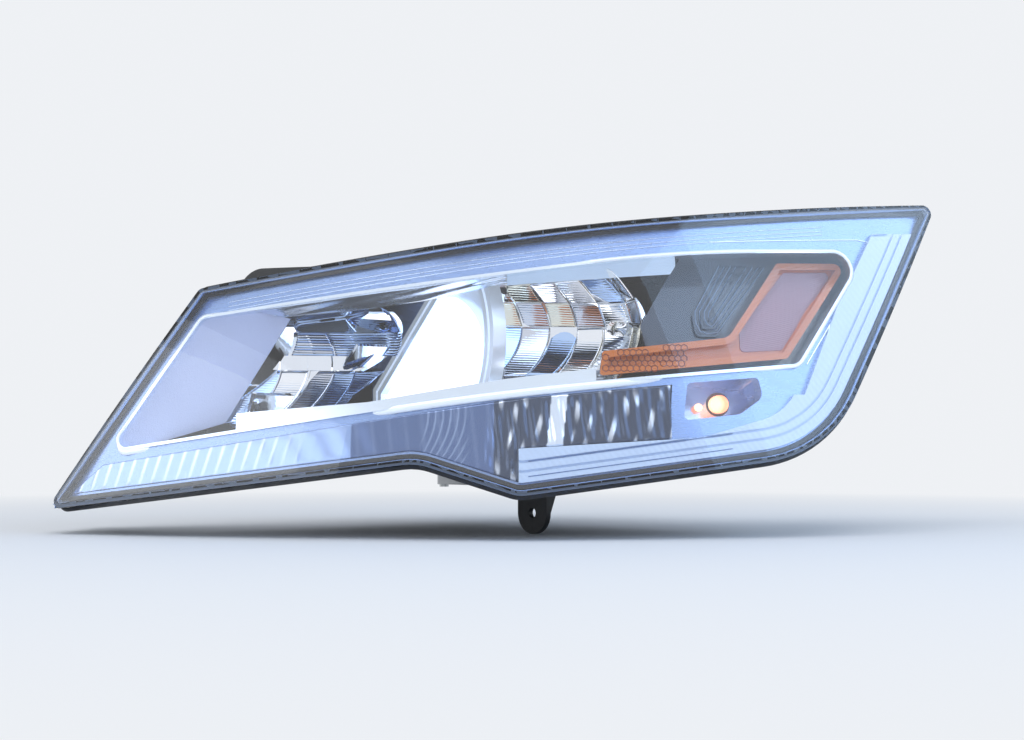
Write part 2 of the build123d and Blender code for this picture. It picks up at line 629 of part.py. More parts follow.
def aim_frame():
    """Plate that carries the optics, with two ball sockets and the adjuster's sleeve on its back."""
    y0, y1 = FRAME_Y
    z0, z1 = FRAME_Z
    x0, x1 = FRAME_X
    outside = Pos((y0 + y1) / 2, (z0 + z1) / 2) * RectangleRounded(y1 - y0, z1 - z0, FRAME_CORNER)
    plate = extrude(BEAM.offset(x0) * outside, amount=x1 - x0)
    openings = []
    for y, z, width, height in FRAME_OPENINGS:
        openings.append(Pos(y, z) * RectangleRounded(width, height, OPENING_CORNER))
    openings.append(Pos(OUTBOARD_Y, OUTBOARD_Z) * Circle(BULB_HOLE))
    for opening in openings:
        plate -= extrude(BEAM.offset(x0 - 1) * opening, amount=x1 - x0 + 2)
    plate += extrude(BEAM.offset(x1) * (outside - grow(outside, -2.5)), amount=5)
    for y in PIVOT_YS:
        outer = BALL_RADIUS + SOCKET_WALL
        plate += rod((PIVOT_X - 4, y, PIVOT_Z), (1, 0, 0), outer, FRAME_X[0] - PIVOT_X + 4)
        plate -= Pos(PIVOT_X, y, PIVOT_Z) * Sphere(BALL_RADIUS + BALL_CLEARANCE)
        plate -= rod((PIVOT_X, y, PIVOT_Z), (-1, 0, 0), STUD_MOUTH, 20)
    plate += rod((x0 + 0.5, AIM_SCREW_Y, AIM_SCREW_Z), (-1, 0, 0), AIM_SLEEVE_BORE + AIM_SLEEVE_WALL,
                 AIM_SLEEVE_LENGTH)
    plate -= rod((x0 + 0.5, AIM_SCREW_Y, AIM_SCREW_Z), (-1, 0, 0), AIM_SLEEVE_BORE, AIM_SLEEVE_LENGTH + 5)
    return plate


def dish(y, z, vertex, focus):
    """Everything in front of a paraboloid whose axis runs along +X."""
    top = vertex + DISH_REACH ** 2 / (4 * focus)
    arc = Spline((vertex, 0), *[(vertex + r * r / (4 * focus), r) for r in DISH_ARC],
                 (top, DISH_REACH), tangents=((0, 1), (DISH_REACH / (2 * focus), 1)))
    closing = Polyline(arc @ 1, (top, 0), (vertex, 0))
    half = make_face(Wire([arc.edge()] + list(closing.edges())))
    return Pos(0, y, z) * revolve(Plane.XY * half, axis=Axis.X)


def between(lines, i):
    """Middle and width of the i-th gap between the lines of a facet grid."""
    return (lines[i] + lines[i + 1]) / 2, lines[i + 1] - lines[i]


def forward(face):
    """A face of y and z run forward from the aim frame, past everything."""
    return extrude(BEAM.offset(FRAME_X[1]) * face, amount=DRAW_REACH)


def cell(y, z, vertex, focus, depth, corners, column_lines, row_lines, posts):
    """A reflector: a shell whose inside steps in a grid of facets, open at the front."""
    outline = rounded(corners)
    outer = forward(grow(outline, REFLECTOR_WALL)) & behind(depth)
    shell = outer & dish(y, z, vertex - REFLECTOR_WALL - FACET_STEP / 2, focus)
    near, far = dish(y, z, vertex + FACET_STEP / 2, focus), dish(y, z, vertex - FACET_STEP / 2, focus)
    squares = []  # every other facet, kept just short of its neighbours' corners
    for i in range(len(column_lines) - 1):
        for j in range(i % 2, len(row_lines) - 1, 2):
            (middle_y, width), (middle_z, height) = between(column_lines, i), between(row_lines, j)
            squares.append(Pos(middle_y, middle_z) * Rectangle(width - 2 * FACET_GAP, height - 2 * FACET_GAP))
    hollow = forward(outline) & near
    hollow += forward(outline & Sketch() + squares) & far
    shell -= hollow
    inside_wall = dish(y, z, vertex - REFLECTOR_WALL - FACET_STEP / 2 + 0.5, focus)
    for post_y, post_z in posts:
        shell += forward(Pos(post_y, post_z) * Circle(POST_RADIUS)) - inside_wall
    return shell


def ring_face():
    """Inside of the projector's frame: a slanted inboard edge, a foot and a bulging outboard edge."""
    (top_y, top_z), (low_y, low_z) = RING_SLANT
    slope = (top_y - low_y) / (top_z - low_z)
    start = (top_y + slope * (RING_TOP - top_z), RING_TOP)
    upper, lower = (RING_SIDE_Y, RING_TOP), (RING_SIDE_Y, low_z)
    middle = (RING_BULGE_Y, (RING_TOP + low_z) / 2)
    around = Polyline(lower, (RING_SIDE_Y, RING_FOOT), (low_y, RING_FOOT), (low_y, low_z), start, upper)
    return make_face(Wire(list(around.edges()) + [ThreePointArc(upper, middle, lower).edge()]))


def lens_face():
    """Outline of the projector's lens, inside its frame."""
    centre_y, centre_z = LENS_SIDE_Y - LENS_ROUND, LENS_TOP - LENS_ROUND
    room = Pos(centre_y, centre_z) * Circle(LENS_ROUND)
    room += Pos(centre_y - DRAW_REACH, LENS_TOP - DRAW_REACH) * Rectangle(2 * DRAW_REACH, 2 * DRAW_REACH)
    room += Pos(LENS_SIDE_Y - DRAW_REACH, centre_z - DRAW_REACH) * Rectangle(2 * DRAW_REACH, 2 * DRAW_REACH)
    return grow(ring_face(), -LENS_GAP) & room


def projector_space():
    """Room for the projector's barrel and frame, cut from the outboard reflector."""
    barrel = grow(lens_face(), LENS_FIT + BARREL_WALL + PROJECTOR_CLEARANCE)
    frame = grow(ring_face(), RING_WIDTH + FRAME_CLEARANCE)
    space = extrude(BEAM.offset(BARREL_X[0] - FRAME_CLEARANCE) * barrel, amount=DRAW_REACH)
    return space + extrude(BEAM.offset(RING_FLOOR_X[0] - FRAME_CLEARANCE) * frame, amount=DRAW_REACH)


def board_face(low, high, height):
    """A strip along the inboard cell's slanted edge, between two places from the edge's lower end."""
    foot = Vector(*INBOARD_CORNERS[2][:2])
    along = (Vector(*INBOARD_CORNERS[3][:2]) - foot).normalized()
    inward = Vector(-along.Y, along.X)
    corners = [foot + along * low, foot + along * high, foot + along * high + inward * height,
               foot + along * low + inward * height]
    return sharp([(c.X, c.Y) for c in corners])


def inboard_reflector():
    """Inboard cell: no wall beside the projector but a short one for the light source board."""
    body = cell(INBOARD_Y, INBOARD_Z, INBOARD_VERTEX, INBOARD_FOCUS, INBOARD_DEPTH, INBOARD_CORNERS,
                INBOARD_COLUMN_LINES, INBOARD_ROW_LINES, INBOARD_POSTS)
    bowl = dish(INBOARD_Y, INBOARD_Z, INBOARD_VERTEX + FACET_STEP / 2, INBOARD_FOCUS)
    body -= forward(board_face(0, DRAW_REACH, -4 * REFLECTOR_WALL)) & bowl
    floor = dish(INBOARD_Y, INBOARD_Z, INBOARD_VERTEX - FACET_STEP, INBOARD_FOCUS)
    low, high = BOARD_SPAN
    wall = BEAM.offset(FRAME_X[1]) * board_face(low - 2, high + 2, -REFLECTOR_WALL)
    body += extrude(wall, amount=BOARD_WALL_X - FRAME_X[1]) & floor
    segments = []
    for i in range(len(INBOARD_COLUMN_LINES) - 1):
        (middle_y, width), (middle_z, height) = between(INBOARD_COLUMN_LINES, i), between(LEDGE_Z, 0)
        segments.append(Pos(middle_y, middle_z) * Rectangle(width, height))
    for i in (0, 1):
        ledge = rounded(INBOARD_CORNERS) & Sketch() + segments[i::2]
        step = dish(INBOARD_Y, INBOARD_Z, INBOARD_VERTEX + LEDGE_STEPS[i], INBOARD_FOCUS)
        body += (forward(ledge) & floor & behind(INBOARD_DEPTH)) - step
    return body


def outboard_reflector():
    body = cell(OUTBOARD_Y, OUTBOARD_Z, OUTBOARD_VERTEX, OUTBOARD_FOCUS, OUTBOARD_DEPTH, OUTBOARD_CORNERS,
                OUTBOARD_COLUMN_LINES, OUTBOARD_ROW_LINES, OUTBOARD_POSTS)
    body -= projector_space()
    return body - rod((FRAME_X[0], OUTBOARD_Y, OUTBOARD_Z), (1, 0, 0), BULB_HOLE, 40)


def main_beam_bulb():
    """Glass envelope with a round end, on the axis of the outboard reflector."""
    glass = rod((FRAME_X[1], OUTBOARD_Y, OUTBOARD_Z), (1, 0, 0), BULB_RADIUS, BULB_LENGTH)
    return glass + Pos(FRAME_X[1] + BULB_LENGTH, OUTBOARD_Y, OUTBOARD_Z) * Sphere(BULB_RADIUS)


def bulb_base():
    """Bulb's base: a flange against the frame's back, a neck through it and a plug behind."""
    x0, x1 = FRAME_X
    base = rod((x0 - 4, OUTBOARD_Y, OUTBOARD_Z), (1, 0, 0), BULB_HOLE + 5, 4)
    base += rod((x0 - 4, OUTBOARD_Y, OUTBOARD_Z), (1, 0, 0), BULB_HOLE - 1, x1 - x0 + 4)
    return base + box((x0 - 22, x0 - 3), (OUTBOARD_Y - 7, OUTBOARD_Y + 7), (OUTBOARD_Z - 12, OUTBOARD_Z + 4))


def inboard_led():
    """Light source board on the inboard cell's short wall, with one square emitter."""
    x0, x1 = BOARD_X
    low, high = BOARD_SPAN
    middle = (low + high) / 2
    board = extrude(BEAM.offset(x0) * board_face(low, high, BOARD_THICKNESS), amount=x1 - x0)
    emitter = board_face(middle - EMITTER / 2, middle + EMITTER / 2, BOARD_THICKNESS + 1)
    return board + extrude(BEAM.offset((x0 + x1 - EMITTER) / 2) * emitter, amount=EMITTER)


def projector_barrel():
    """Tub behind the projector's lens, with its light source box and the posts to the frame."""
    x0, x1 = BARREL_X
    face = lens_face()
    barrel = extrude(BEAM.offset(x0) * grow(face, LENS_FIT + BARREL_WALL), amount=x1 - x0)
    barrel -= extrude(BEAM.offset(LENS_BACK_X) * grow(face, LENS_FIT), amount=20)
    barrel -= extrude(BEAM.offset(x0 + BARREL_WALL) * grow(face, -BARREL_WALL), amount=20)
    h = SOURCE_HALF
    barrel += box(SOURCE_X, (PROJECTOR_Y - h, PROJECTOR_Y + h), (PROJECTOR_Z - h, PROJECTOR_Z + h))
    for y, z in PROJECTOR_POSTS:
        barrel += rod((FRAME_X[1], y, z), (1, 0, 0), POST_RADIUS, BARREL_X[0] - FRAME_X[1] + 1)
    return barrel


def projector_ring():
    """Bright D-shaped frame round the projector's lens, with a groove between its two front edges."""
    x0, x1 = RING_X
    inner = ring_face()
    whole = grow(inner, RING_WIDTH)
    foot = RING_FOOT - RING_WIDTH
    room = Pos(0, (RING_ROOF + foot) / 2) * Rectangle(2 * DRAW_REACH, RING_ROOF - foot)
    body = extrude(BEAM.offset(x0) * ((whole & room) - inner), amount=x1 - x0)
    groove = grow(inner, 0.62 * RING_WIDTH) - grow(inner, 0.38 * RING_WIDTH)
    body -= extrude(BEAM.offset(x1 - RING_GROOVE) * groove, amount=RING_GROOVE + 1)
    inboard_side = Pos(RING_SLANT[0][0] - DRAW_REACH, PROJECTOR_Z) * Rectangle(2 * DRAW_REACH, DRAW_REACH)
    floor = (whole + (grow(inner, RING_WING) & inboard_side)) & room
    floor -= grow(lens_face(), LENS_FIT)
    return body + extrude(BEAM.offset(RING_FLOOR_X[0]) * floor, amount=RING_FLOOR_X[1] - RING_FLOOR_X[0])


def projector_lens():
    """Thick D-shaped lens with a flat back and a gently domed front."""
    block = extrude(BEAM.offset(LENS_BACK_X) * lens_face(), amount=60)
    return block & Pos(LENS_FRONT_X - LENS_BALL, PROJECTOR_Y, PROJECTOR_Z) * Sphere(LENS_BALL)


def projector_sink():
    """Finned block behind the projector's light source."""
    h = SINK_HALF
    x0, x1 = SINK_X
    sink = box((x1 - SINK_BASE, x1), (PROJECTOR_Y - h, PROJECTOR_Y + h), (PROJECTOR_Z - h, PROJECTOR_Z + h))
    step = (2 * h - SINK_FIN) / (SINK_FINS - 1)
    for i in range(SINK_FINS):
        y = PROJECTOR_Y - h + i * step
        sink += box((x0, x1 - 1), (y, y + SINK_FIN), (PROJECTOR_Z - h, PROJECTOR_Z + h))
    return sink


def access_cap(y, z):
    """Round cap with a plug, a gripped rim and a raised bar across its back."""
    cap = rod((REAR_X - RIB_HEIGHT, y, z), (1, 0, 0), CAP_SEAT, RIB_HEIGHT + WALL)
    rim = rod((REAR_X - RIB_HEIGHT, y, z), (-1, 0, 0), CAP_RADIUS, CAP_DEPTH)
    rim = chamfer(rim.faces().sort_by(Axis.X)[0].edges(), 1.5)
    for i in range(CAP_GRIPS):
        a = 2 * pi * i / CAP_GRIPS
        rim -= rod((REAR_X - 40, y + (CAP_RADIUS + 1) * cos(a), z + (CAP_RADIUS + 1) * sin(a)),
                   (1, 0, 0), 3, 60)
    back = REAR_X - RIB_HEIGHT - CAP_DEPTH
    bar_width, bar_length, bar_height = CAP_BAR
    bar_face = Pos(y, z) * SlotOverall(bar_length, bar_width, rotation=90)
    bar = extrude(BEAM.offset(back - bar_height) * bar_face, amount=bar_height + 1)
    return cap + rim + chamfer(bar.faces().sort_by(Axis.X)[0].edges(), 1.5)


def inboard_access_cap():
    return access_cap(*CAP_CENTRES[0])


def outboard_access_cap():
    return access_cap(*CAP_CENTRES[1])


def led_driver():
    """Finned driver box under the rear body."""
    top = REAR_Z[0]
    x0, x1 = DRIVER_X
    y0, y1 = DRIVER_Y
    case = box(DRIVER_X, DRIVER_Y, (top - DRIVER_HEIGHT, top))
    case = fillet(case.edges().filter_by(Axis.Z), 5)
    for i in range(DRIVER_FINS):
        y = y0 + 8 + i * (y1 - y0 - 16 - 4) / (DRIVER_FINS - 1)
        case -= box((x0 + 8, x1 - 8), (y, y + 4), (top - DRIVER_HEIGHT - 1, top - DRIVER_HEIGHT + 5))
    return case


def main_connector():
    """Open plug socket on the rear wall with a row of pins."""
    d, w, h = CONNECTOR_SIZE
    t = CONNECTOR_WALL
    x = (REAR_X - d, REAR_X)
    y = (CONNECTOR_Y - w / 2, CONNECTOR_Y + w / 2)
    z = (CONNECTOR_Z - h / 2, CONNECTOR_Z + h / 2)
    shroud = box(x, y, z) - box((x[0] - 1, x[1] - 3), (y[0] + t, y[1] - t), (z[0] + t, z[1] - t))
    for i in range(CONNECTOR_PINS):
        py = CONNECTOR_Y + (i - (CONNECTOR_PINS - 1) / 2) * 5.5
        shroud += box((x[1] - 16, x[1] - 2), (py - 0.8, py + 0.8), (CONNECTOR_Z - 0.8, CONNECTOR_Z + 0.8))
    return shroud


def vent_caps():
    """Two round vent caps pushed on to the rear wall's nipples."""
    caps = []
    for y in VENT_YS:
        outer = rod((REAR_X - 12, y, VENT_Z), (1, 0, 0), VENT_RADIUS, 10)
        caps.append(outer - rod((REAR_X - 8, y, VENT_Z), (1, 0, 0), VENT_RADIUS - 2, 20))
    return caps


PARTS = {
    "outer_lens": outer_lens,
    "sealant": sealant,
    "housing": housing,
    "bezel_frame": bezel_frame,
    "window_surround": window_surround,
    "fluted_strip": fluted_strip,
    "light_guide": light_guide,
    "inboard_panel": inboard_panel,
    "dark_trim": dark_trim,
    "amber_reflector": amber_reflector,
    "turn_reflector": turn_reflector,
    "turn_bulb": turn_bulb,
    "turn_bulb_socket": turn_bulb_socket,
    "aim_screw": aim_screw,
    "aim_frame": aim_frame,
    "inboard_reflector": inboard_reflector,
    "inboard_led": inboard_led,
    "outboard_reflector": outboard_reflector,
    "main_beam_bulb": main_beam_bulb,
    "bulb_base": bulb_base,
    "projector_barrel": projector_barrel,
    "projector_ring": projector_ring,
    "projector_lens": projector_lens,
    "projector_sink": projector_sink,
    "inboard_access_cap": inboard_access_cap,
    "outboard_access_cap": outboard_access_cap,
    "led_driver": led_driver,
    "main_connector": main_connector,
}

if __name__ == "__main__":
    os.makedirs("parts", exist_ok=True)
    for name, make in PARTS.items():
        export_step(make(), f"parts/{name}.step")
    for side, stud in zip(("inboard", "outboard"), pivot_studs()):
        export_step(stud, f"parts/{side}_pivot_stud.step")
    for side, vent in zip(("inboard", "outboard"), vent_caps()):
        export_step(vent, f"parts/{side}_vent_cap.step")
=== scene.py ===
"""Left car headlamp: finishes, fine details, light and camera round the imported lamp, in metres."""
import math

import bmesh
import bpy
from mathutils import Matrix, Vector


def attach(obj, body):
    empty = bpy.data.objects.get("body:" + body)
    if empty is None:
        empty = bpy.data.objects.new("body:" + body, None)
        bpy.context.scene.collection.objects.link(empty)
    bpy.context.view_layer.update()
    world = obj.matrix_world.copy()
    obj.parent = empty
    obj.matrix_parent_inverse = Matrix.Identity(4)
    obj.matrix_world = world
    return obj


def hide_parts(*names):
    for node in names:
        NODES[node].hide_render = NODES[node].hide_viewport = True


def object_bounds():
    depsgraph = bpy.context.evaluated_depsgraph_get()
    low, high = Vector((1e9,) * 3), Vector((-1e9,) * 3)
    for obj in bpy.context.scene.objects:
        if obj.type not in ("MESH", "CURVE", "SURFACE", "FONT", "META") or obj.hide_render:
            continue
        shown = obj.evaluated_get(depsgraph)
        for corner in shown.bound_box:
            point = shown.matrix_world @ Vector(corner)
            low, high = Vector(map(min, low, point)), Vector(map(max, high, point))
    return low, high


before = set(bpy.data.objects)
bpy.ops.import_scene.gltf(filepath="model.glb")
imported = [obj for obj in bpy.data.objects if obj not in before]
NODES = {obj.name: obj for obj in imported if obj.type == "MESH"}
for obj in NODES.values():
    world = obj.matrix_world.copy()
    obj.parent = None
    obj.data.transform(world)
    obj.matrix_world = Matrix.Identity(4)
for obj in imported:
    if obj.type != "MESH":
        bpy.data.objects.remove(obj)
bpy.context.scene.view_settings.view_transform = "Standard"
cad_box = [list(c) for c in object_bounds()]
MM = 0.001
MERGE = 0.000001

# Front skin of the lens in millimetres: a raked upright arc, turned about one upright axis
SKIN_AXIS = (-294.0, -296.0)
SKIN_RADIUS = 565.0
SKIN_REF_Z = -106.0
SKIN_RAKE = math.radians(14.0)
SKIN_CROWN = 1200.0
SKIN_CENTRE_R = SKIN_RADIUS - SKIN_CROWN * math.cos(SKIN_RAKE)
SKIN_CENTRE_Z = SKIN_REF_Z - SKIN_CROWN * math.sin(SKIN_RAKE)
DRAW_ANGLE = math.radians(47.0)
OUTLINE_ZERO = -8.0
DRAW = Vector((math.cos(DRAW_ANGLE), math.sin(DRAW_ANGLE), 0))
ALONG = Vector((-math.sin(DRAW_ANGLE), math.cos(DRAW_ANGLE), 0))
UP = Vector((0, 0, 1))

# Outlines on the draw plane, s and z in millimetres with a corner radius
LENS_CORNERS = [
    (-301.5, -176.0, 5.0), (-50.0, -144.0, 40.0), (14.0, -164.5, 22.0), (214.0, -138.0, 85.0),
    (310.5, 38.0, 6.0), (46.0, 9.5, 3000.0), (-198.0, -29.0, 6.0),
]
WINDOW_CORNERS = [
    (-196.0, -49.0, 8.0), (-257.0, -136.0, 5.0), (6.0, -97.0, 2500.0), (197.0, -79.5, 8.0),
    (250.0, -1.5, 12.0), (116.0, -7.5, 1200.0),
]
LENS_MIDDLE = Vector((0, -70))
WINDOW_MIDDLE = Vector((0, -65))


def skin_point(s, z, depth):
    """Point of the layer at a depth, on the draw line through s and z of the outlines, in metres."""
    height = z + OUTLINE_ZERO
    reach = SKIN_CENTRE_R + math.sqrt((SKIN_CROWN - depth) ** 2 - (height - SKIN_CENTRE_Z) ** 2)
    forward = math.sqrt(reach * reach - s * s)
    flat = Vector((SKIN_AXIS[0], SKIN_AXIS[1], 0)) + ALONG * s + DRAW * forward
    return Vector((flat.x, flat.y, height)) * MM


def rounded_outline(corners, steps=10):
    """Points of an outline whose corners are rounded by arcs."""
    points = []
    count = len(corners)
    for i, (x, y, radius) in enumerate(corners):
        here = Vector((x, y))
        back = Vector(corners[i - 1][:2]) - here
        ahead = Vector(corners[(i + 1) % count][:2]) - here
        half = back.angle(ahead) / 2
        reach = min(radius / math.tan(half), 0.49 * back.length, 0.49 * ahead.length)
        start, end = here + back.normalized() * reach, here + ahead.normalized() * reach
        middle = (back.normalized() + ahead.normalized()).normalized()
        size = reach * math.tan(half)
        centre = here + middle * (size / math.sin(half))
        first, last = start - centre, end - centre
        for k in range(steps + 1):
            ray = first.lerp(last, k / steps)
            points.append(centre + ray.normalized() * size)
    return points


def shrunk(corners, amount):
    """Points of a rounded outline moved inwards."""
    outline = rounded_outline([(x, y, max(0.5, radius - amount)) for x, y, radius in corners], 6)
    moved = []
    count = len(outline)
    signed = sum(a.x * b.y - b.x * a.y for a, b in zip(outline, outline[1:] + outline[:1]))
    turn = 1 if signed > 0 else -1
    for i in range(count):
        along = outline[(i + 1) % count] - outline[i - 1]
        if along.length < 0.0001:
            along = outline[(i + 2) % count] - outline[i - 2]
        along = along.normalized()
        moved.append(outline[i] + Vector((-along.y, along.x)) * turn * amount)
    return moved


def cut_at(points, value, axis, keep_above):
    """The part of an outline on one side of a level or upright line."""
    kept = []
    for a, b in zip(points, points[1:] + points[:1]):
        inside_a = (a[axis] >= value) == keep_above
        inside_b = (b[axis] >= value) == keep_above
        if inside_a:
            kept.append(a)
        if inside_a != inside_b:
            kept.append(a.lerp(b, (value - a[axis]) / (b[axis] - a[axis])))
    return kept


def inside(points, x, y):
    """Whether a place lies inside an outline."""
    result = False
    for a, b in zip(points, points[1:] + points[:1]):
        if (a[1] > y) != (b[1] > y) and x < a[0] + (b[0] - a[0]) * (y - a[1]) / (b[1] - a[1]):
            result = not result
    return result


def outward(along, here, middle):
    """Direction at right angles to a run of an outline, away from the outline's middle."""
    out = Vector((along.y, -along.x)).normalized()
    return -out if out.dot(here - middle) < 0 else out


def edge_height(points, s, top):
    """Highest or lowest crossing of an outline with the upright line at s."""
    heights = []
    for a, b in zip(points, points[1:] + points[:1]):
        if (a[0] > s) != (b[0] > s):
            heights.append(a[1] + (b[1] - a[1]) * (s - a[0]) / (b[0] - a[0]))
    return max(heights) if top else min(heights)


def run_height(points, s):
    """Height of an open run of points at s."""
    for a, b in zip(points, points[1:]):
        if a[0] <= s <= b[0]:
            return a[1] + (b[1] - a[1]) * (s - a[0]) / (b[0] - a[0])
    return points[-1][1]


def layer_path(points, depth, step=6.0):
    """Points of a layer along straight runs between places of the outlines."""
    path = []
    for a, b in zip(points, points[1:]):
        a, b = Vector(a), Vector(b)
        count = max(1, round((b - a).length / step))
        path.extend(a.lerp(b, k / count) for k in range(count))
    path.append(Vector(points[-1]))
    return [skin_point(p.x, p.y, depth) for p in path]


def spread(low, high, runs):
    """Evenly spaced values from low to high."""
    return [low + i * (high - low) / runs for i in range(runs + 1)]


def smooth_step(low, high, value):
    share = min(1.0, max(0.0, (value - low) / (high - low)))
    return share * share * (3 - 2 * share)


LENS_OUTLINE = rounded_outline(LENS_CORNERS)
WINDOW_OUTLINE = rounded_outline(WINDOW_CORNERS)


def new_object(name, data):
    item = bpy.data.objects.new(name, data)
    bpy.context.scene.collection.objects.link(item)
    return item


def turn_towards(place, target):
    """Turn that looks from one place at another."""
    return (Vector(target) - Vector(place)).to_track_quat("-Z", "Y").to_euler()


# Camera
CAMERA_PLACE = (0.806, 0.914, -0.137)
CAMERA_TARGET = (0.012, 0.045, -0.089)
CAMERA_LENS = 60.0
CAMERA_SENSOR = 36.0
CAMERA_CLIP = 0.01


def make_camera():
    data = bpy.data.cameras.new("camera")
    data.sensor_width = CAMERA_SENSOR
    data.lens = CAMERA_LENS
    data.clip_start = CAMERA_CLIP
    camera = new_object("camera", data)
    camera.location = CAMERA_PLACE
    camera.rotation_euler = turn_towards(CAMERA_PLACE, CAMERA_TARGET)
    bpy.context.scene.camera = camera


make_camera()

# Shared effects, each a node group
SOCKETS = {"value": "NodeSocketFloat", "color": "NodeSocketColor", "vector": "NodeSocketVector",
           "geometry": "NodeSocketGeometry", "material": "NodeSocketMaterial"}


class Wiring:
    """Short ways to add nodes to one tree and join them."""

    def __init__(self, tree):
        self.nodes = tree.nodes
        self.links = tree.links

    def fill(self, sockets, values):
        """Join each named socket to an output, or set its value."""
        for key, value in dict(values).items():
            if hasattr(value, "is_output"):
                self.links.new(value, sockets[key])
            else:
                sockets[key].default_value = value

    def add(self, kind, inputs=(), **settings):
        node = self.nodes.new(kind)
        for key, value in settings.items():
            setattr(node, key, value)
        self.fill(node.inputs, inputs)
        return node

    def math(self, operation, *values):
        return self.add("ShaderNodeMath", enumerate(values), operation=operation).outputs[0]

    def vector(self, operation, *values):
        return self.add("ShaderNodeVectorMath", enumerate(values), operation=operation).outputs

    def group(self, tree, inputs=()):
        return self.add("ShaderNodeGroup", inputs, node_tree=tree).outputs

    def mix(self, factor, a, b):
        return self.add("ShaderNodeMix", {0: factor, 6: a, 7: b}, data_type="RGBA").outputs[2]

    def ramp(self, value, low, high):
        inputs = {"Value": value, "From Min": low, "From Max": high}
        return self.add("ShaderNodeMapRange", inputs).outputs[0]

    def noise(self, place, scale, detail):
        inputs = {"Vector": place, "Scale": scale, "Detail": detail}
        return self.add("ShaderNodeTexNoise", inputs).outputs["Fac"]

    def split(self, vector):
        return self.add("ShaderNodeSeparateXYZ", {0: vector}).outputs

    def object_place(self):
        return self.add("ShaderNodeTexCoord").outputs["Object"]

    def stored(self, key):
        """Vector kept on each point or face of a tree's base mesh."""
        return self.add("GeometryNodeInputNamedAttribute", {"Name": key}, data_type="FLOAT_VECTOR").outputs[0]

    def end(self, share, first, second, output="Material Output"):
        """Blend two shaders into the output."""
        mixed = self.add("ShaderNodeMixShader", {0: share, 1: first.outputs[0], 2: second.outputs[0]})
        self.links.new(mixed.outputs[0], self.nodes[output].inputs["Surface"])


def make_group(name, inputs, outputs, kind="ShaderNodeTree"):
    """Node group with named sockets. Returns it with its wiring, what it takes and what it gives."""
    group = bpy.data.node_groups.new(name, kind)
    for label, socket_kind, value in inputs:
        socket = group.interface.new_socket(label, in_out="INPUT", socket_type=SOCKETS[socket_kind])
        if value is not None:
            socket.default_value = value
    for label, socket_kind in outputs:
        group.interface.new_socket(label, in_out="OUTPUT", socket_type=SOCKETS[socket_kind])
    taken = group.nodes.new("NodeGroupInput").outputs
    given = group.nodes.new("NodeGroupOutput").inputs
    return group, Wiring(group), taken, given


def make_handling():
    """Cloudy tone, rubbed spots and settled dust over a plain color."""
    group, w, taken, given = make_group("handling", [
        ("Color", "color", (0.5, 0.5, 0.5, 1)), ("Roughness", "value", 0.5), ("Cloud", "value", 0.08),
        ("Rub", "value", 0.1), ("Dust", "value", 0.0), ("Dust Color", "color", (0.42, 0.4, 0.37, 1)),
        ("Scale", "value", 40.0)], [("Color", "color"), ("Roughness", "value")])
    place = w.object_place()
    cloud = w.noise(place, taken["Scale"], 5.0)
    fine = w.noise(place, 900.0, 3.0)
    swing = w.math("MULTIPLY", w.math("SUBTRACT", cloud, 0.5), 2.0)
    tone = w.math("ADD", 1.0, w.math("MULTIPLY", swing, taken["Cloud"]))
    toned = w.add("ShaderNodeHueSaturation", {"Value": tone, "Color": taken["Color"]}).outputs[0]
    streaks = w.add("ShaderNodeMapping", {"Vector": place, "Scale": (60.0, 60.0, 320.0)}).outputs[0]
    rubbed = w.ramp(w.noise(streaks, 1.0, 4.0), 0.52, 0.72)
    rough = w.math("ADD", taken["Roughness"], w.math("MULTIPLY", rubbed, taken["Rub"]))
    upward = w.split(w.add("ShaderNodeNewGeometry").outputs["Normal"])["Z"]
    spots = w.ramp(w.math("ADD", w.math("MULTIPLY", fine, 0.5), w.math("MULTIPLY", cloud, 0.5)), 0.4, 0.62)
    dust = w.math("MULTIPLY", w.math("MULTIPLY", w.ramp(upward, 0.15, 0.95), spots), taken["Dust"])
    w.fill(given, {"Color": w.mix(dust, toned, taken["Dust Color"]),
                   "Roughness": w.math("ADD", rough, w.math("MULTIPLY", dust, 0.3))})
    return group


def make_grain():
    """Leathery moulded grain or the pebbling of cast metal, as a height."""
    group, w, taken, given = make_group("grain", [
        ("Scale", "value", 900.0), ("Pebble", "value", 0.5)], [("Height", "value")])
    place = w.object_place()
    cells = w.add("ShaderNodeTexVoronoi", {"Vector": place, "Scale": taken["Scale"]}, feature="SMOOTH_F1")
    pebbles = w.math("MULTIPLY", cells.outputs["Distance"], taken["Pebble"])
    rest = w.math("SUBTRACT", 1.0, taken["Pebble"])
    leather = w.math("MULTIPLY", w.noise(place, taken["Scale"], 4.0), rest)
    w.fill(given, {"Height": w.math("ADD", pebbles, leather)})
    return group


def make_fine_lines():
    """Even fine lines across one direction, as a height."""
    group, w, taken, given = make_group("fine_lines", [
        ("Direction", "vector", (0.0, 0.0, 1.0)), ("Spacing", "value", 0.001), ("Waver", "value", 0.1)],
        [("Height", "value")])
    place = w.object_place()
    reach = w.vector("DOT_PRODUCT", place, taken["Direction"])["Value"]
    turns = w.math("DIVIDE", reach, taken["Spacing"])
    turns = w.math("ADD", turns, w.math("MULTIPLY", w.noise(place, 60.0, 2.0), taken["Waver"]))
    wave = w.math("SINE", w.math("MULTIPLY", turns, 2 * math.pi))
    w.fill(given, {"Height": w.math("ADD", 0.5, w.math("MULTIPLY", wave, 0.5))})
    return group


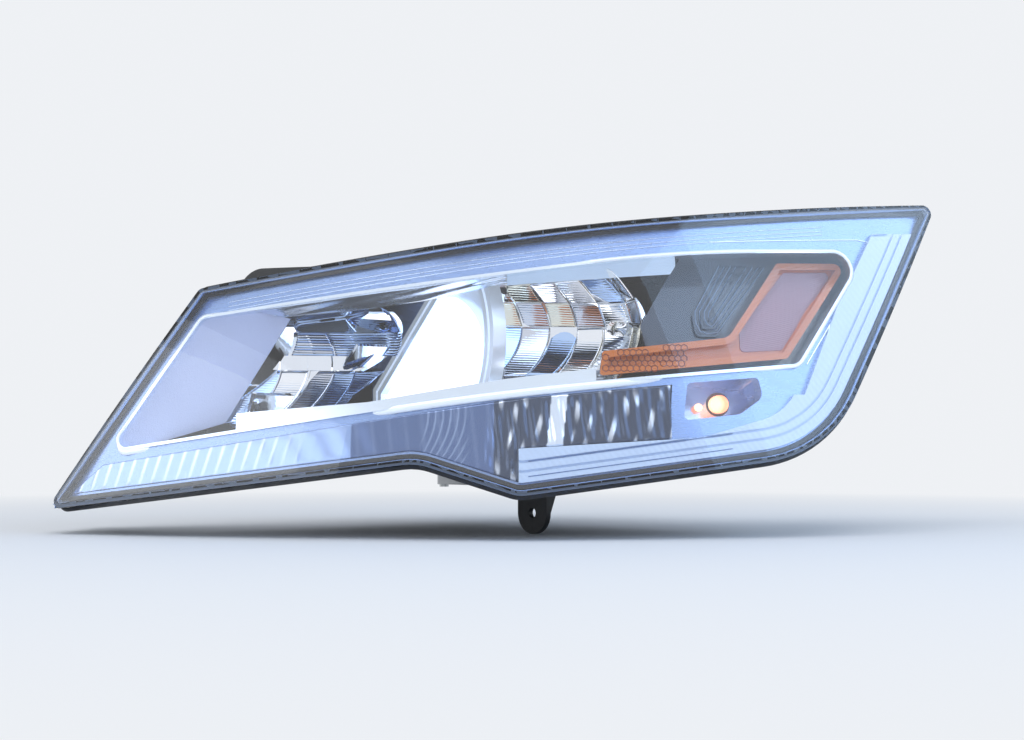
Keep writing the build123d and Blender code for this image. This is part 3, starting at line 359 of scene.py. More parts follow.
def make_side_tint():
    """One color on faces that look along a direction, another on those that look sideways."""
    group, w, taken, given = make_group("side_tint", [
        ("Front", "color", (1, 1, 1, 1)), ("Side", "color", (0.5, 0.5, 0.5, 1)),
        ("Direction", "vector", (1.0, 0.0, 0.0))], [("Color", "color")])
    normal = w.add("ShaderNodeNewGeometry").outputs["Normal"]
    facing = w.vector("DOT_PRODUCT", normal, taken["Direction"])["Value"]
    mask = w.ramp(w.math("ABSOLUTE", facing), 0.25, 0.8)
    w.fill(given, {"Color": w.mix(mask, taken["Side"], taken["Front"])})
    return group


def make_skin_depth():
    """Mask that is 0 at the lens's face and 1 on its skirt, from the depth below the skin."""
    group, w, taken, given = make_group("skin_depth", [
        ("Start", "value", 0.0034), ("End", "value", 0.005)], [("Mask", "value")])
    place = w.object_place()
    from_axis = w.vector("SUBTRACT", place, (SKIN_AXIS[0] * MM, SKIN_AXIS[1] * MM, 0.0))["Vector"]
    reach = w.vector("LENGTH", w.vector("MULTIPLY", from_axis, (1.0, 1.0, 0.0))["Vector"])["Value"]
    drop = w.math("SUBTRACT", w.split(place)["Z"], SKIN_CENTRE_Z * MM)
    square = w.math("SUBTRACT", (SKIN_CROWN * MM) ** 2, w.math("MULTIPLY", drop, drop))
    skin = w.math("ADD", w.math("SQRT", square), SKIN_CENTRE_R * MM)
    depth = w.math("SUBTRACT", skin, reach)
    w.fill(given, {"Mask": w.ramp(depth, taken["Start"], taken["End"])})
    return group


HANDLING = make_handling()
GRAIN = make_grain()
FINE_LINES = make_fine_lines()
SIDE_TINT = make_side_tint()
SKIN_DEPTH = make_skin_depth()


def grain(scale, pebble, depth):
    """Bump of a finish: its group, the group's inputs, and how deep it is in metres."""
    return GRAIN, {"Scale": scale, "Pebble": pebble}, depth


def lines(direction, spacing, waver, depth):
    """Bump of a finish, as above, with spacing and depth in metres."""
    return FINE_LINES, {"Direction": direction, "Spacing": spacing, "Waver": waver}, depth


def new_material(name, bumps=()):
    """Material with its bumps laid one over another. Returns it with its wiring and its shader."""
    material = bpy.data.materials.new(name)
    material.use_nodes = True
    w = Wiring(material.node_tree)
    shader = w.nodes["Principled BSDF"]
    before = None
    for group, values, depth in bumps:
        relief = w.group(group, values)["Height"]
        bump = w.add("ShaderNodeBump", {"Height": relief, "Strength": 1.0, "Distance": depth})
        if before:
            w.links.new(before, bump.inputs["Normal"])
        before = bump.outputs["Normal"]
    if before:
        w.links.new(before, shader.inputs["Normal"])
    return material, w, shader


def side_tint(w, front, side, direction):
    return w.group(SIDE_TINT, {"Front": (*front, 1), "Side": (*side, 1), "Direction": direction})["Color"]


def seen_rays(w, *others):
    """1 for the camera's rays and the other kinds named, 0 for the rest."""
    path = w.add("ShaderNodeLightPath")
    seen = path.outputs["Is Camera Ray"]
    for kind in others:
        seen = w.math("MAXIMUM", seen, path.outputs[kind])
    return seen


def finish(name, color, roughness, metallic=0.0, coat=0.0, cloud=0.08, rub=0.1, dust=0.0, scale=40.0,
           painted_flank_sheen=None, bumps=(), **constants):
    """Opaque finish with signs of handling. The sides of ridges may take another color, a painted sheen."""
    material, w, shader = new_material(name, bumps)
    cover = w.group(HANDLING, {
        "Color": side_tint(w, color, painted_flank_sheen, DRAW) if painted_flank_sheen else (*color, 1), "Roughness": roughness,
        "Cloud": cloud, "Rub": rub, "Dust": dust, "Scale": scale})
    w.fill(shader.inputs, {"Base Color": cover["Color"], "Roughness": cover["Roughness"],
                           "Metallic": metallic, "Coat Weight": coat})
    w.fill(shader.inputs, {key.replace("_", " "): value for key, value in constants.items()})
    return material


# Roughness of the lens skirt, and the strength of its painted glow, a painted blue reflection
SKIRT_ROUGHNESS = 0.28
PAINTED_SKIRT_GLOW = 0.17


def seen_glass(name, color, ior, bumps=(), edge=None):
    """Glass for the rays that are seen. Other rays pass straight through, so the lamp's inside is lit. With
    an edge color, the skirt gets a painted blue tint and glow, a painted reflection.
    """
    material, w, shader = new_material(name, bumps)
    w.fill(shader.inputs, {
        "Base Color": (*color, 1), "Roughness": 0.0, "IOR": ior, "Transmission Weight": 1.0})
    # Painted reflection: the edge color tints the lens skirt blue and makes it glow
    if edge:
        skirt = w.group(SKIN_DEPTH)["Mask"]
        w.fill(shader.inputs, {
            "Base Color": w.mix(skirt, (*color, 1), (*edge, 1)),
            "Roughness": w.math("MULTIPLY", skirt, SKIRT_ROUGHNESS),
            "Emission Color": w.mix(skirt, (0, 0, 0, 1), (*edge, 1)), "Emission Strength": PAINTED_SKIRT_GLOW})
    clear = w.add("ShaderNodeBsdfTransparent", {"Color": (*color, 1)})
    w.end(seen_rays(w, "Is Transmission Ray"), clear, shader)
    return material


def reflection_painted_finish(name, roughness, metallic, bumps):
    """Bright finish whose color is the piece's tone attribute, which holds painted reflections and
    highlights.
    """
    material, w, shader = new_material(name, bumps)
    tone = w.add("ShaderNodeAttribute", attribute_name="tone")
    w.fill(shader.inputs, {"Base Color": tone.outputs["Color"], "Roughness": roughness, "Metallic": metallic})
    return material


def glowing(name, front, side, strength, direction=(1, 0, 0), coat=0.0):
    """Lit clear piece, brighter on the faces that look along the direction."""
    material, w, shader = new_material(name)
    tint = side_tint(w, front, side, direction)
    w.fill(shader.inputs, {"Emission Color": tint, "Base Color": tint, "Emission Strength": strength,
                           "Roughness": 0.05, "Coat Weight": coat})
    return material


BLACK_GRAIN = [grain(1400.0, 0.6, 0.00012)]
CAST_GRAIN = [grain(700.0, 0.3, 0.00016)]
RUBBER_GRAIN = [grain(2200.0, 0.2, 0.00005)]
PANEL_GRAIN = [grain(1500.0, 0.8, 0.00022)]
SOFT_WAVES = grain(160.0, 0.0, 0.00005)
LEVEL_LINES = lines((0.0, 0.0, 1.0), 0.0012, 0.06, 0.000004)
MIRROR_LINES = lines((0.0, 0.06, 1.0), 0.0016, 0.5, 0.00003)

MIRROR = finish("mirror_metal", (0.9, 0.92, 0.95), 0.035, 1.0, cloud=0.03, rub=0.05, bumps=[SOFT_WAVES])
# Facet color is the painted reflection tone stored on each facet
FACET_METAL = reflection_painted_finish("facet_metal", 0.05, 1.0, [SOFT_WAVES, MIRROR_LINES])
RIB_METAL = finish("rib_metal", (0.7, 0.8, 0.95), 0.2, 1.0, cloud=0.1, rub=0.1)
LINE_BLUE = finish("line_blue", (0.1, 0.19, 0.42), 0.3, 0.5)
HONEYCOMB_AMBER = finish("honeycomb_amber", (0.24, 0.035, 0.002), 0.2, coat=0.4)
MAUVE_PANEL = finish("mauve_panel", (0.36, 0.17, 0.2), 0.3, coat=0.3, cloud=0.1, bumps=[
    lines((0.35, 0.35, -0.9), 0.0015, 0.1, 0.00008)])
RIDGE_BLUE = finish("ridge_blue", (0.2, 0.3, 0.46), 0.25, coat=0.4)
# Painted glow of a bead that is no bulb, for a second bright spot in the turn lamp
PAINTED_BEAD_GLOW = glowing("lit_bead", (1.0, 0.66, 0.42), (1.0, 0.34, 0.16), 1.7, direction=DRAW)
# The lip's faint emission is a painted highlight; the lip is no lamp
LIP_METAL_PAINTED_GLOW = finish("bright_lip_metal", (0.9, 0.95, 1.0), 0.22, 0.3, cloud=0.03, rub=0.06, coat=0.5,
                   Emission_Color=(0.8, 0.9, 1.0, 1.0), Emission_Strength=0.16)
CELL_FLOOR = finish("cell_floor_blue", (0.24, 0.36, 0.66), 0.28, 0.2, bumps=[
    lines((0.0, 0.3, 1.0), 0.006, 0.1, 0.0003)])
# Blue of the sheet inside the lens skirt is a painted reflection
BORDER_BLUE_PAINTED_REFLECTION = finish("border_blue", (0.2, 0.34, 0.68), 0.25, 0.4, coat=0.3)
STREAKED_METAL = finish("streaked_metal", (0.74, 0.82, 0.95), 0.2, 0.9, cloud=0.3, rub=0.15, scale=70.0,
                        bumps=[grain(60.0, 0.0, 0.0003)])
MATERIALS = {
    # The edge color paints a blue reflection glow on the lens skirt
    "outer_lens": seen_glass("clear_polycarbonate", (0.97, 0.98, 1.0), 1.5, [
        grain(12.0, 0.0, 0.00003)], edge=(0.38, 0.53, 0.82)),
    "sealant": finish("black_sealant", (0.012, 0.012, 0.013), 0.7, bumps=RUBBER_GRAIN),
    "housing": finish("black_moulded_plastic", (0.03, 0.031, 0.033), 0.46, dust=0.12, bumps=BLACK_GRAIN),
    "bezel_frame": finish("pale_blue_silver_paint", (0.3, 0.43, 0.72), 0.27, 0.6, coat=0.4, cloud=0.06,
                          bumps=[LEVEL_LINES]),
    "window_surround": finish("bright_trim_metal", (0.84, 0.92, 1.0), 0.2, 0.9, cloud=0.03, rub=0.06),
    "fluted_strip": reflection_painted_finish("fluted_silver", 0.2, 0.6, [LEVEL_LINES]),
    "light_guide": finish("milky_guide", (0.66, 0.79, 0.98), 0.14, 0.0, coat=0.6, cloud=0.05, IOR=1.5,
                          bumps=[lines((-0.58, 0.54, 0.6), 0.0035, 0.05, 0.00012)]),
    "inboard_panel": finish("fine_grained_silver", (0.62, 0.69, 0.95), 0.36, 0.35, cloud=0.05,
                            bumps=PANEL_GRAIN),
    # The dark trim's lighter blue sides are a painted sheen
    "dark_trim": finish("dark_blue_gloss", (0.022, 0.035, 0.064), 0.2, coat=0.6, painted_flank_sheen=(0.14, 0.2, 0.34),
                        bumps=RUBBER_GRAIN),
    "amber_reflector": finish("amber_plastic", (0.66, 0.16, 0.012), 0.14, 0.0, coat=0.5, cloud=0.14,
                              bumps=[lines((0.3, 0.3, 0.9), 0.0018, 0.1, 0.00006)]),
    "turn_reflector": finish("turn_lamp_metal", (0.6, 0.68, 0.88), 0.22, 0.8, bumps=[
        grain(90.0, 0.0, 0.0003)]),
    "turn_bulb": glowing("lit_amber_bulb", (1.0, 0.62, 0.36), (1.0, 0.34, 0.16), 1.8),
    "turn_bulb_socket": finish("grey_socket", (0.12, 0.12, 0.125), 0.55, bumps=BLACK_GRAIN),
    "inboard_pivot_stud": finish("zinc_plate_1", (0.62, 0.63, 0.62), 0.28, 1.0, rub=0.2),
    "outboard_pivot_stud": finish("zinc_plate_2", (0.6, 0.61, 0.62), 0.3, 1.0, rub=0.2),
    "aim_screw": finish("natural_nylon", (0.7, 0.69, 0.62), 0.45, bumps=RUBBER_GRAIN),
    "aim_frame": finish("dark_grey_frame", (0.05, 0.052, 0.056), 0.5, bumps=BLACK_GRAIN),
    "inboard_reflector": MIRROR,
    "inboard_led": finish("light_source_board", (0.75, 0.78, 0.76), 0.3, 0.8),
    "outboard_reflector": MIRROR,
    "main_beam_bulb": seen_glass("bulb_glass", (0.97, 0.97, 0.97), 1.45),
    "bulb_base": finish("bulb_base_grey", (0.15, 0.15, 0.155), 0.5, bumps=BLACK_GRAIN),
    "projector_barrel": finish("cast_aluminium_barrel", (0.45, 0.46, 0.48), 0.4, 1.0, bumps=CAST_GRAIN),
    # The ring's emission is a painted highlight; the ring is no lamp
    "projector_ring": finish("bright_frame_metal", (0.84, 0.9, 1.0), 0.22, 0.5, cloud=0.03, rub=0.05,
                             Emission_Color=(0.75, 0.87, 1.0, 1.0), Emission_Strength=0.3),
    "projector_lens": glowing("lit_projector_lens", (1.0, 1.0, 1.0), (0.55, 0.72, 1.0), 1.5, coat=1.0),
    "projector_sink": finish("cast_aluminium_sink", (0.42, 0.43, 0.44), 0.45, 1.0, bumps=CAST_GRAIN),
    "inboard_access_cap": finish("cap_rubber_1", (0.02, 0.02, 0.022), 0.6, dust=0.18, bumps=RUBBER_GRAIN),
    "outboard_access_cap": finish("cap_rubber_2", (0.022, 0.022, 0.023), 0.6, dust=0.18, bumps=RUBBER_GRAIN),
    "led_driver": finish("driver_aluminium", (0.5, 0.51, 0.52), 0.42, 1.0, rub=0.2, bumps=CAST_GRAIN),
    "main_connector": finish("connector_black", (0.025, 0.025, 0.028), 0.42, bumps=BLACK_GRAIN),
    "inboard_vent_cap": finish("vent_rubber_1", (0.018, 0.018, 0.02), 0.6, bumps=RUBBER_GRAIN),
    "outboard_vent_cap": finish("vent_rubber_2", (0.018, 0.018, 0.02), 0.6, bumps=RUBBER_GRAIN),
}
for node, material in MATERIALS.items():
    NODES[node].data.materials.clear()
    NODES[node].data.materials.append(material)


# Ways to make the pieces
def add_piece(name, data, body, wall=0.0):
    """Object of a mesh, with its body, and for an open sheet a wall behind it, in millimetres."""
    piece = new_object(name, data)
    if wall:
        behind = piece.modifiers.new("wall", "SOLIDIFY")
        behind.thickness = wall * MM
        behind.offset = -1.0
    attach(piece, body)
    return piece


def grown_mesh(name, base, tree, values):
    """Run a tree of geometry nodes on a base mesh and keep the plain result."""
    helper = new_object(name + "_base", base)
    modifier = helper.modifiers.new("tree", "NODES")
    modifier.node_group = tree
    for item in tree.interface.items_tree:
        if item.item_type == "SOCKET" and item.in_out == "INPUT" and item.name in values:
            modifier[item.identifier] = values[item.name]
    evaluated = helper.evaluated_get(bpy.context.evaluated_depsgraph_get())
    mesh = bpy.data.meshes.new_from_object(evaluated)
    mesh.name = name
    bpy.data.objects.remove(helper)
    return mesh


def store_vectors(mesh, key, domain, values):
    layer = mesh.attributes.new(key, "FLOAT_VECTOR", domain)
    for item, value in zip(layer.data, values):
        item.vector = value


def plain_mesh(name, points, edges=(), faces=()):
    mesh = bpy.data.meshes.new(name)
    mesh.from_pydata([tuple(p) for p in points], edges, faces)
    return mesh


def point_mesh(name, points, turns):
    """Loose points, each with the turn of what grows there."""
    mesh = plain_mesh(name, points)
    store_vectors(mesh, "turn", "POINT", turns)
    return mesh


def path_mesh(name, paths):
    """Open runs of points joined by edges."""
    points, edges = [], []
    for path in paths:
        first = len(points)
        points.extend(path)
        edges.extend((first + i, first + i + 1) for i in range(len(path) - 1))
    return plain_mesh(name, points, edges=edges)


def grid_mesh(name, rows):
    """Quads between rows of equally many points."""
    width = len(rows[0])
    faces = []
    for j in range(len(rows) - 1):
        for i in range(width - 1):
            first = j * width + i
            faces.append((first, first + 1, first + width + 1, first + width))
    return plain_mesh(name, [p for row in rows for p in row], faces=faces)


def face_towards(mesh, direction):
    """Turn an open sheet's faces to look along a direction."""
    bmesh.ops.recalc_face_normals(mesh, faces=mesh.faces)
    total = sum((f.normal * f.calc_area() for f in mesh.faces), Vector())
    if total.dot(direction) < 0:
        bmesh.ops.reverse_faces(mesh, faces=mesh.faces)


def add_sheet(name, rows, wall, material, body, towards=DRAW, tones=()):
    """A smooth sheet through rows of points, with a wall on the side away from the given direction."""
    data = grid_mesh(name, rows)
    mesh = bmesh.new()
    mesh.from_mesh(data)
    if tones:
        layer = mesh.verts.layers.float_color.new("tone")
        for vert, tone in zip(mesh.verts, tones):
            vert[layer] = (*tone, 1)
    bmesh.ops.remove_doubles(mesh, verts=mesh.verts, dist=MERGE)
    face_towards(mesh, towards)
    for face in mesh.faces:
        face.smooth = True
    mesh.to_mesh(data)
    mesh.free()
    data.materials.append(material)
    return add_piece(name, data, body, wall)


# Trees of geometry nodes, for pieces that repeat or follow a path or a surface
def make_tree(name, sizes):
    """Tree that takes a mesh, named sizes and a material, and gives a mesh."""
    inputs = [("Geometry", "geometry", None), *sizes, ("Material", "material", None)]
    return make_group(name, inputs, [("Geometry", "geometry")], "GeometryNodeTree")


def on_points(w, shape, taken):
    """A shape at each loose point, turned as its point says."""
    return w.add("GeometryNodeInstanceOnPoints", {
        "Points": taken["Geometry"], "Instance": shape, "Rotation": w.stored("turn")}).outputs[0]


def end_tree(w, shape, taken, given):
    real = w.add("GeometryNodeRealizeInstances", {"Geometry": shape})
    done = w.add("GeometryNodeSetMaterial", {"Geometry": real.outputs[0], "Material": taken["Material"]})
    w.links.new(done.outputs[0], given[0])


def facet_tree():
    """Reflector facets: flat polygons are divided, laid on a paraboloid, and each is crowned and leant."""
    tree, w, taken, given = make_tree("reflector_facets", [
        ("Axis Y", "value", 0.0), ("Axis Z", "value", 0.0), ("Vertex X", "value", 0.0),
        ("Focus", "value", 0.01), ("Crown", "value", 0.001)])
    apart = w.add("GeometryNodeSplitEdges", {"Mesh": taken["Geometry"]})
    fine = w.add("GeometryNodeSubdivideMesh", {"Mesh": apart.outputs[0], "Level": 4})
    place = w.split(w.add("GeometryNodeInputPosition").outputs[0])
    middle, size, slope = [w.split(w.stored(key)) for key in ("centre", "half", "lean")]
    total = w.math("ADD", taken["Vertex X"], slope["X"])
    for axis in ("Y", "Z"):
        out = w.math("SUBTRACT", place[axis], taken["Axis " + axis])
        bowl = w.math("DIVIDE", w.math("MULTIPLY", out, out), w.math("MULTIPLY", 4.0, taken["Focus"]))
        local = w.math("SUBTRACT", place[axis], middle[axis])
        share = w.math("DIVIDE", local, size[axis])
        hump = w.math("SUBTRACT", 1.0, w.math("MULTIPLY", share, share))
        total = w.math("ADD", total, w.math("ADD", bowl, w.math("MULTIPLY", hump, taken["Crown"])))
        total = w.math("ADD", total, w.math("MULTIPLY", local, slope[axis]))
    spot = w.add("ShaderNodeCombineXYZ", {"X": total, "Y": place["Y"], "Z": place["Z"]})
    moved = w.add("GeometryNodeSetPosition", {"Geometry": fine.outputs[0], "Position": spot.outputs[0]})
    smooth = w.add("GeometryNodeSetShadeSmooth", {"Geometry": moved.outputs[0]})
    end_tree(w, smooth.outputs[0], taken, given)
    return tree


def rib_tree():
    """Thin round ribs along the runs of a path."""
    tree, w, taken, given = make_tree("thin_ribs", [("Radius", "value", 0.0004), ("Sides", "value", 6.0)])
    curve = w.add("GeometryNodeMeshToCurve", {"Mesh": taken["Geometry"]})
    profile = w.add("GeometryNodeCurvePrimitiveCircle", {
        "Radius": taken["Radius"], "Resolution": taken["Sides"]})
    tube = w.add("GeometryNodeCurveToMesh", {
        "Curve": curve.outputs[0], "Profile Curve": profile.outputs[0], "Fill Caps": True})
    smooth = w.add("GeometryNodeSetShadeSmooth", {"Geometry": tube.outputs[0]})
    end_tree(w, smooth.outputs[0], taken, given)
    return tree


def block_tree():
    """Small blocks at loose points."""
    tree, w, taken, given = make_tree("turned_blocks", [("Size", "vector", (0.002, 0.002, 0.002))])
    block = w.add("GeometryNodeMeshCube", {"Size": taken["Size"]})
    end_tree(w, on_points(w, block.outputs[0], taken), taken, given)
    return tree


def screw_tree():
    """Round screw heads with a six-sided socket, at loose points."""
    tree, w, taken, given = make_tree("screw_heads", [
        ("Radius", "value", 0.0035), ("Height", "value", 0.002)])
    head = w.add("GeometryNodeMeshCylinder", {
        "Vertices": 20, "Radius": taken["Radius"], "Depth": taken["Height"]})
    bore = w.add("GeometryNodeMeshCylinder", {
        "Vertices": 6, "Radius": w.math("MULTIPLY", taken["Radius"], 0.48), "Depth": taken["Height"]})
    raised = w.add("ShaderNodeCombineXYZ", {"Z": w.math("MULTIPLY", taken["Height"], 0.5)})
    lifted = w.add("GeometryNodeTransform", {"Geometry": bore.outputs[0], "Translation": raised.outputs[0]})
    cut = w.add("GeometryNodeMeshBoolean", {0: head.outputs[0], 1: lifted.outputs[0]}, operation="DIFFERENCE")
    end_tree(w, on_points(w, cut.outputs[0], taken), taken, given)
    return tree


FACETS = facet_tree()
RIBS = rib_tree()
BLOCKS = block_tree()
SCREWS = screw_tree()


def add_ribs(name, paths, radius, material, sides=6):
    """Thin ribs on the lamp's body, along paths of points in metres."""
    data = grown_mesh(name, path_mesh(name + "_path", paths), RIBS, {
        "Radius": radius * MM, "Sides": sides, "Material": material})
    add_piece(name, data, "lamp_body")


# Facets of the two reflectors, sizes in millimetres
FACET_INSET = 0.18
FACET_LEAST = (2.0, 1.0)
FACET_LOW_SHARE = 0.4
FACET_WALL = 0.8
INBOARD_CELL = {"Axis Y": -10.0, "Axis Z": -84.0, "Vertex X": 57.3, "Focus": 12.5}, [
    (-79, -126, 5), (-40, -126, 5), (-38, -101, 4), (5, -44, 5), (-59, -58, 5)]
OUTBOARD_CELL = {"Axis Y": 106.0, "Axis Z": -62.0, "Vertex X": -41.6, "Focus": 11.0}, [
    (65, -106, 3), (131, -106, 12), (131, -22, 10), (59, -33, 4), (49.5, -54, 6), (49.5, -68, 6),
    (54, -84, 4)]
LEANS = [(0.05, 0.06), (-0.08, 0.02), (0.1, -0.05), (-0.03, 0.09), (0.02, -0.09), (-0.1, -0.02), (0.07, 0.1)]
# Painted reflections: white, grey, warm, brown-grey and blue patches on the facets stand in for what the
# chrome reflects
WHITE, PALE_GREY, WARM = (0.98, 0.98, 0.98), (0.72, 0.74, 0.8), (0.86, 0.83, 0.7)
BROWN_GREY, SKY, DEEP = (0.55, 0.51, 0.48), (0.55, 0.72, 1.0), (0.34, 0.48, 0.78)
LOW_PAINTED_REFLECTIONS = [[BROWN_GREY, SKY, WHITE, PALE_GREY, SKY, DEEP]]
BAND_PAINTED_REFLECTIONS = [[DEEP, SKY, DEEP], [PALE_GREY, PALE_GREY, SKY], [DEEP, DEEP, SKY]]
HIGH_PAINTED_REFLECTIONS = [[DEEP, SKY, DEEP]]
OUTBOARD_PAINTED_REFLECTIONS = [
    [WHITE, PALE_GREY, WHITE, SKY, PALE_GREY, WHITE], [SKY, PALE_GREY, SKY, WHITE, WHITE, WARM],
    [WARM, PALE_GREY, WARM, PALE_GREY, WHITE, PALE_GREY], [BROWN_GREY, WARM, PALE_GREY, WHITE, SKY, WHITE],
]


def facet_mesh(name, corners, columns, rows, lift, leans, tones):
    """Flat polygons of a grid, cut to the cell's outline, each with its place, size, lean and tone, the tone
    a painted reflection.
    """
    outline = rounded_outline(corners, 6)
    points, faces, values, shades = [], [], [], []
    for i in range(len(columns) - 1):
        for j in range(len(rows) - 1):
            polygon = outline
            for axis, (low, high) in enumerate((columns[i:i + 2], rows[j:j + 2])):
                polygon = cut_at(polygon, low + FACET_INSET, axis, True)
                polygon = cut_at(polygon, high - FACET_INSET, axis, False)
            if len(polygon) < 3:
                continue
            lows = [min(p[k] for p in polygon) for k in (0, 1)]
            highs = [max(p[k] for p in polygon) for k in (0, 1)]
            if any(high - low < least for low, high, least in zip(lows, highs, FACET_LEAST)):
                continue
            first = len(points)
            points.extend((0.0, p[0] * MM, p[1] * MM) for p in polygon)
            faces.append(tuple(range(first, len(points))))
            middle = [(a + b) / 2 * MM for a, b in zip(lows, highs)]
            half = [(b - a) / 2 * MM for a, b in zip(lows, highs)]
            raised = lift * MM * (FACET_LOW_SHARE if (i + j) % 2 else 1.0)
            values.append(((0, *middle), (1, *half), (raised, *leans[(i * 3 + j * 5) % len(leans)])))
            # Each facet's tone is a painted reflection
            row = tones[j % len(tones)]
            shades.append((*row[i % len(row)], 1))
    mesh = plain_mesh(name, points, faces=faces)
    tone = mesh.attributes.new("tone", "FLOAT_COLOR", "FACE")
    for item, shade in zip(tone.data, shades):
        item.color = shade
    for key, vectors in zip(("centre", "half", "lean"), zip(*values)):
        store_vectors(mesh, key, "FACE", vectors)
    return mesh


def add_facets(name, cell, columns, rows, tones, crown, lift, leans=LEANS):
    """Sheet of facets in front of one cell of the reflectors, with a thin wall."""
    sizes, corners = cell
    base = facet_mesh(name + "_flat", corners, columns, rows, lift, leans, tones)
    inputs = {key: size * MM for key, size in sizes.items()}
    data = grown_mesh(name, base, FACETS, {**inputs, "Crown": crown * MM, "Material": FACET_METAL})
    mesh = bmesh.new()
    mesh.from_mesh(data)
    bmesh.ops.remove_doubles(mesh, verts=mesh.verts, dist=MERGE)
    mesh.to_mesh(data)
    mesh.free()
    add_piece(name, data, "optics", FACET_WALL)


add_facets("inboard_low_facets", INBOARD_CELL, (-90, -74.5, -67.5, -59, -51, -43, 14), (-134, -89.2),
           LOW_PAINTED_REFLECTIONS, crown=0.8, lift=0.5)
add_facets("inboard_ribbed_band", INBOARD_CELL, (-90, -67.5, -51, 14), [-79 + 1.72 * k for k in range(10)],
           BAND_PAINTED_REFLECTIONS, crown=0.25, lift=0.3, leans=[(0.0, 0.0)])
add_facets("inboard_high_facets", INBOARD_CELL, (-90, -60, -38, 14), (-63.3, -28),
           HIGH_PAINTED_REFLECTIONS, crown=0.8, lift=0.4)
add_facets("outboard_facets", OUTBOARD_CELL, (40, 57, 66, 76, 89, 109, 136), (-110, -94, -60, -44, -18),
           OUTBOARD_PAINTED_REFLECTIONS, crown=0.7, lift=0.4)

# Fluted strip under the window, in millimetres
STRIP_DEPTH = 11.0
STRIP_WALL = 1.6
STRIP_START, STRIP_MIDDLE, STRIP_DARK, STRIP_END = -284.0, -92.0, -2.0, 111.0
STRIP_LEVELS = 26
STRIP_COLUMNS = 489
FLUTE_PITCH = 8.5
FLUTE_LEAN = 0.3
FLUTE_FOOT = -135.0
# Strip colors: the inboard pale blue is a painted reflection haze, and the second color of each pair is a
# painted streak highlight
INBOARD_HAZE_AND_HIGHLIGHT = Vector((0.34, 0.47, 0.76)), Vector((0.8, 0.88, 1.0))
MIDDLE_BLUE_AND_HIGHLIGHT = Vector((0.13, 0.19, 0.36)), Vector((0.5, 0.62, 0.85))
DARK_NAVY_AND_HIGHLIGHT = Vector((0.06, 0.08, 0.13)), Vector((0.85, 0.9, 0.98))
PAINTED_GLINT_BAND = Vector((0.84, 0.91, 1.0))


def strip_floor(s):
    """Lower edge of the fluted strip: the lens's edge, and the light guide outboard."""
    if s < 14:
        return edge_height(LENS_OUTLINE, s, False) + 8.4
    return -134.6 + (s - 12) * 7 / 118


def strip_roof(s):
    """Upper edge of the fluted strip, under the window's lip."""
    if s < -262:
        return -146.0 + (s + 262) * 36 / 43
    return -146.0 + (s + 262) * 42 / 268 if s < 6 else -104.0 + (s - 6) * 10 / 106


def flute_wave(s, z):
    """Wave of the leaning flutes at the strip's inboard end."""
    return math.sin(2 * math.pi * (s - FLUTE_LEAN * (z - FLUTE_FOOT)) / FLUTE_PITCH)


def strip_relief(s, z):
    """Height of the strip's optics: leaning flutes, then uneven upright prisms."""
    flutes = 0.22 * (0.5 + 0.5 * flute_wave(s, z)) ** 3 * (1 - smooth_step(-150, -105, s))
    prisms = 0.4 * math.sin(s / 1.15 + 0.9 * math.sin(z / 6.5)) + 0.4 * math.sin(s / 2.3 - z / 9.0 + 1.3)
    prisms = (prisms + 0.2 * math.sin(s / 0.71 + z / 5.0)) * smooth_step(-14, 0, s)
    return flutes + prisms + 0.12 * math.sin(s / 3.1 + 2.0 * math.sin(z / 11.0))


def strip_color_and_painted_light(s, z, share):
    """Color of the strip: a pale painted reflection haze with faint painted streak highlights, then dark blue
    with painted streaks, then black with bright painted streak highlights and a painted glint band.
    """
    if s < STRIP_MIDDLE:
        painted_streak = smooth_step(0.5, 1.0, flute_wave(s, z)) * (0.3 + 0.5 * share)
        painted_streak *= 1 - smooth_step(-160, -110, s)
        # Painted glints along the strip's lower edge
        painted_glint = smooth_step(0.7, 1.0, math.sin(s / 1.3) * math.sin(s / 4.1))
        painted_glint *= 1 - smooth_step(0.1, 0.35, share)
        painted_glint = 0.7 * painted_glint * smooth_step(-215, -200, s) * (1 - smooth_step(-165, -150, s))
        return INBOARD_HAZE_AND_HIGHLIGHT[0].lerp(INBOARD_HAZE_AND_HIGHLIGHT[1], max(painted_streak, painted_glint))
    if s < STRIP_DARK:
        bow = s + 30 + 0.012 * (z + 112) ** 2
        painted_streak = smooth_step(0.55, 1.0, math.sin(bow / 0.75)) * smooth_step(-50, -43, s)
        painted_streak *= 1 - smooth_step(-22, -16, s)
        faint = 0.12 * smooth_step(0.6, 1.0, math.sin(s / 1.7 + z / 14))
        return MIDDLE_BLUE_AND_HIGHLIGHT[0].lerp(MIDDLE_BLUE_AND_HIGHLIGHT[1], max(0.6 * painted_streak, faint))
    # Painted glint band
    if 33 < s - 0.1 * (z + 120) < 43:
        return PAINTED_GLINT_BAND
    tangle = math.sin(s / 1.25 + 1.6 * math.sin(z / 8))
    tangle += 0.8 * math.sin(s / 2.6 - z / 5.5 + 1.3 * math.sin(s / 9))
    painted_streak = smooth_step(0.65, 1.3, tangle) * (0.5 + 0.5 * math.sin(z / 4.2 + s / 6))
    return DARK_NAVY_AND_HIGHLIGHT[0].lerp(DARK_NAVY_AND_HIGHLIGHT[1], painted_streak)


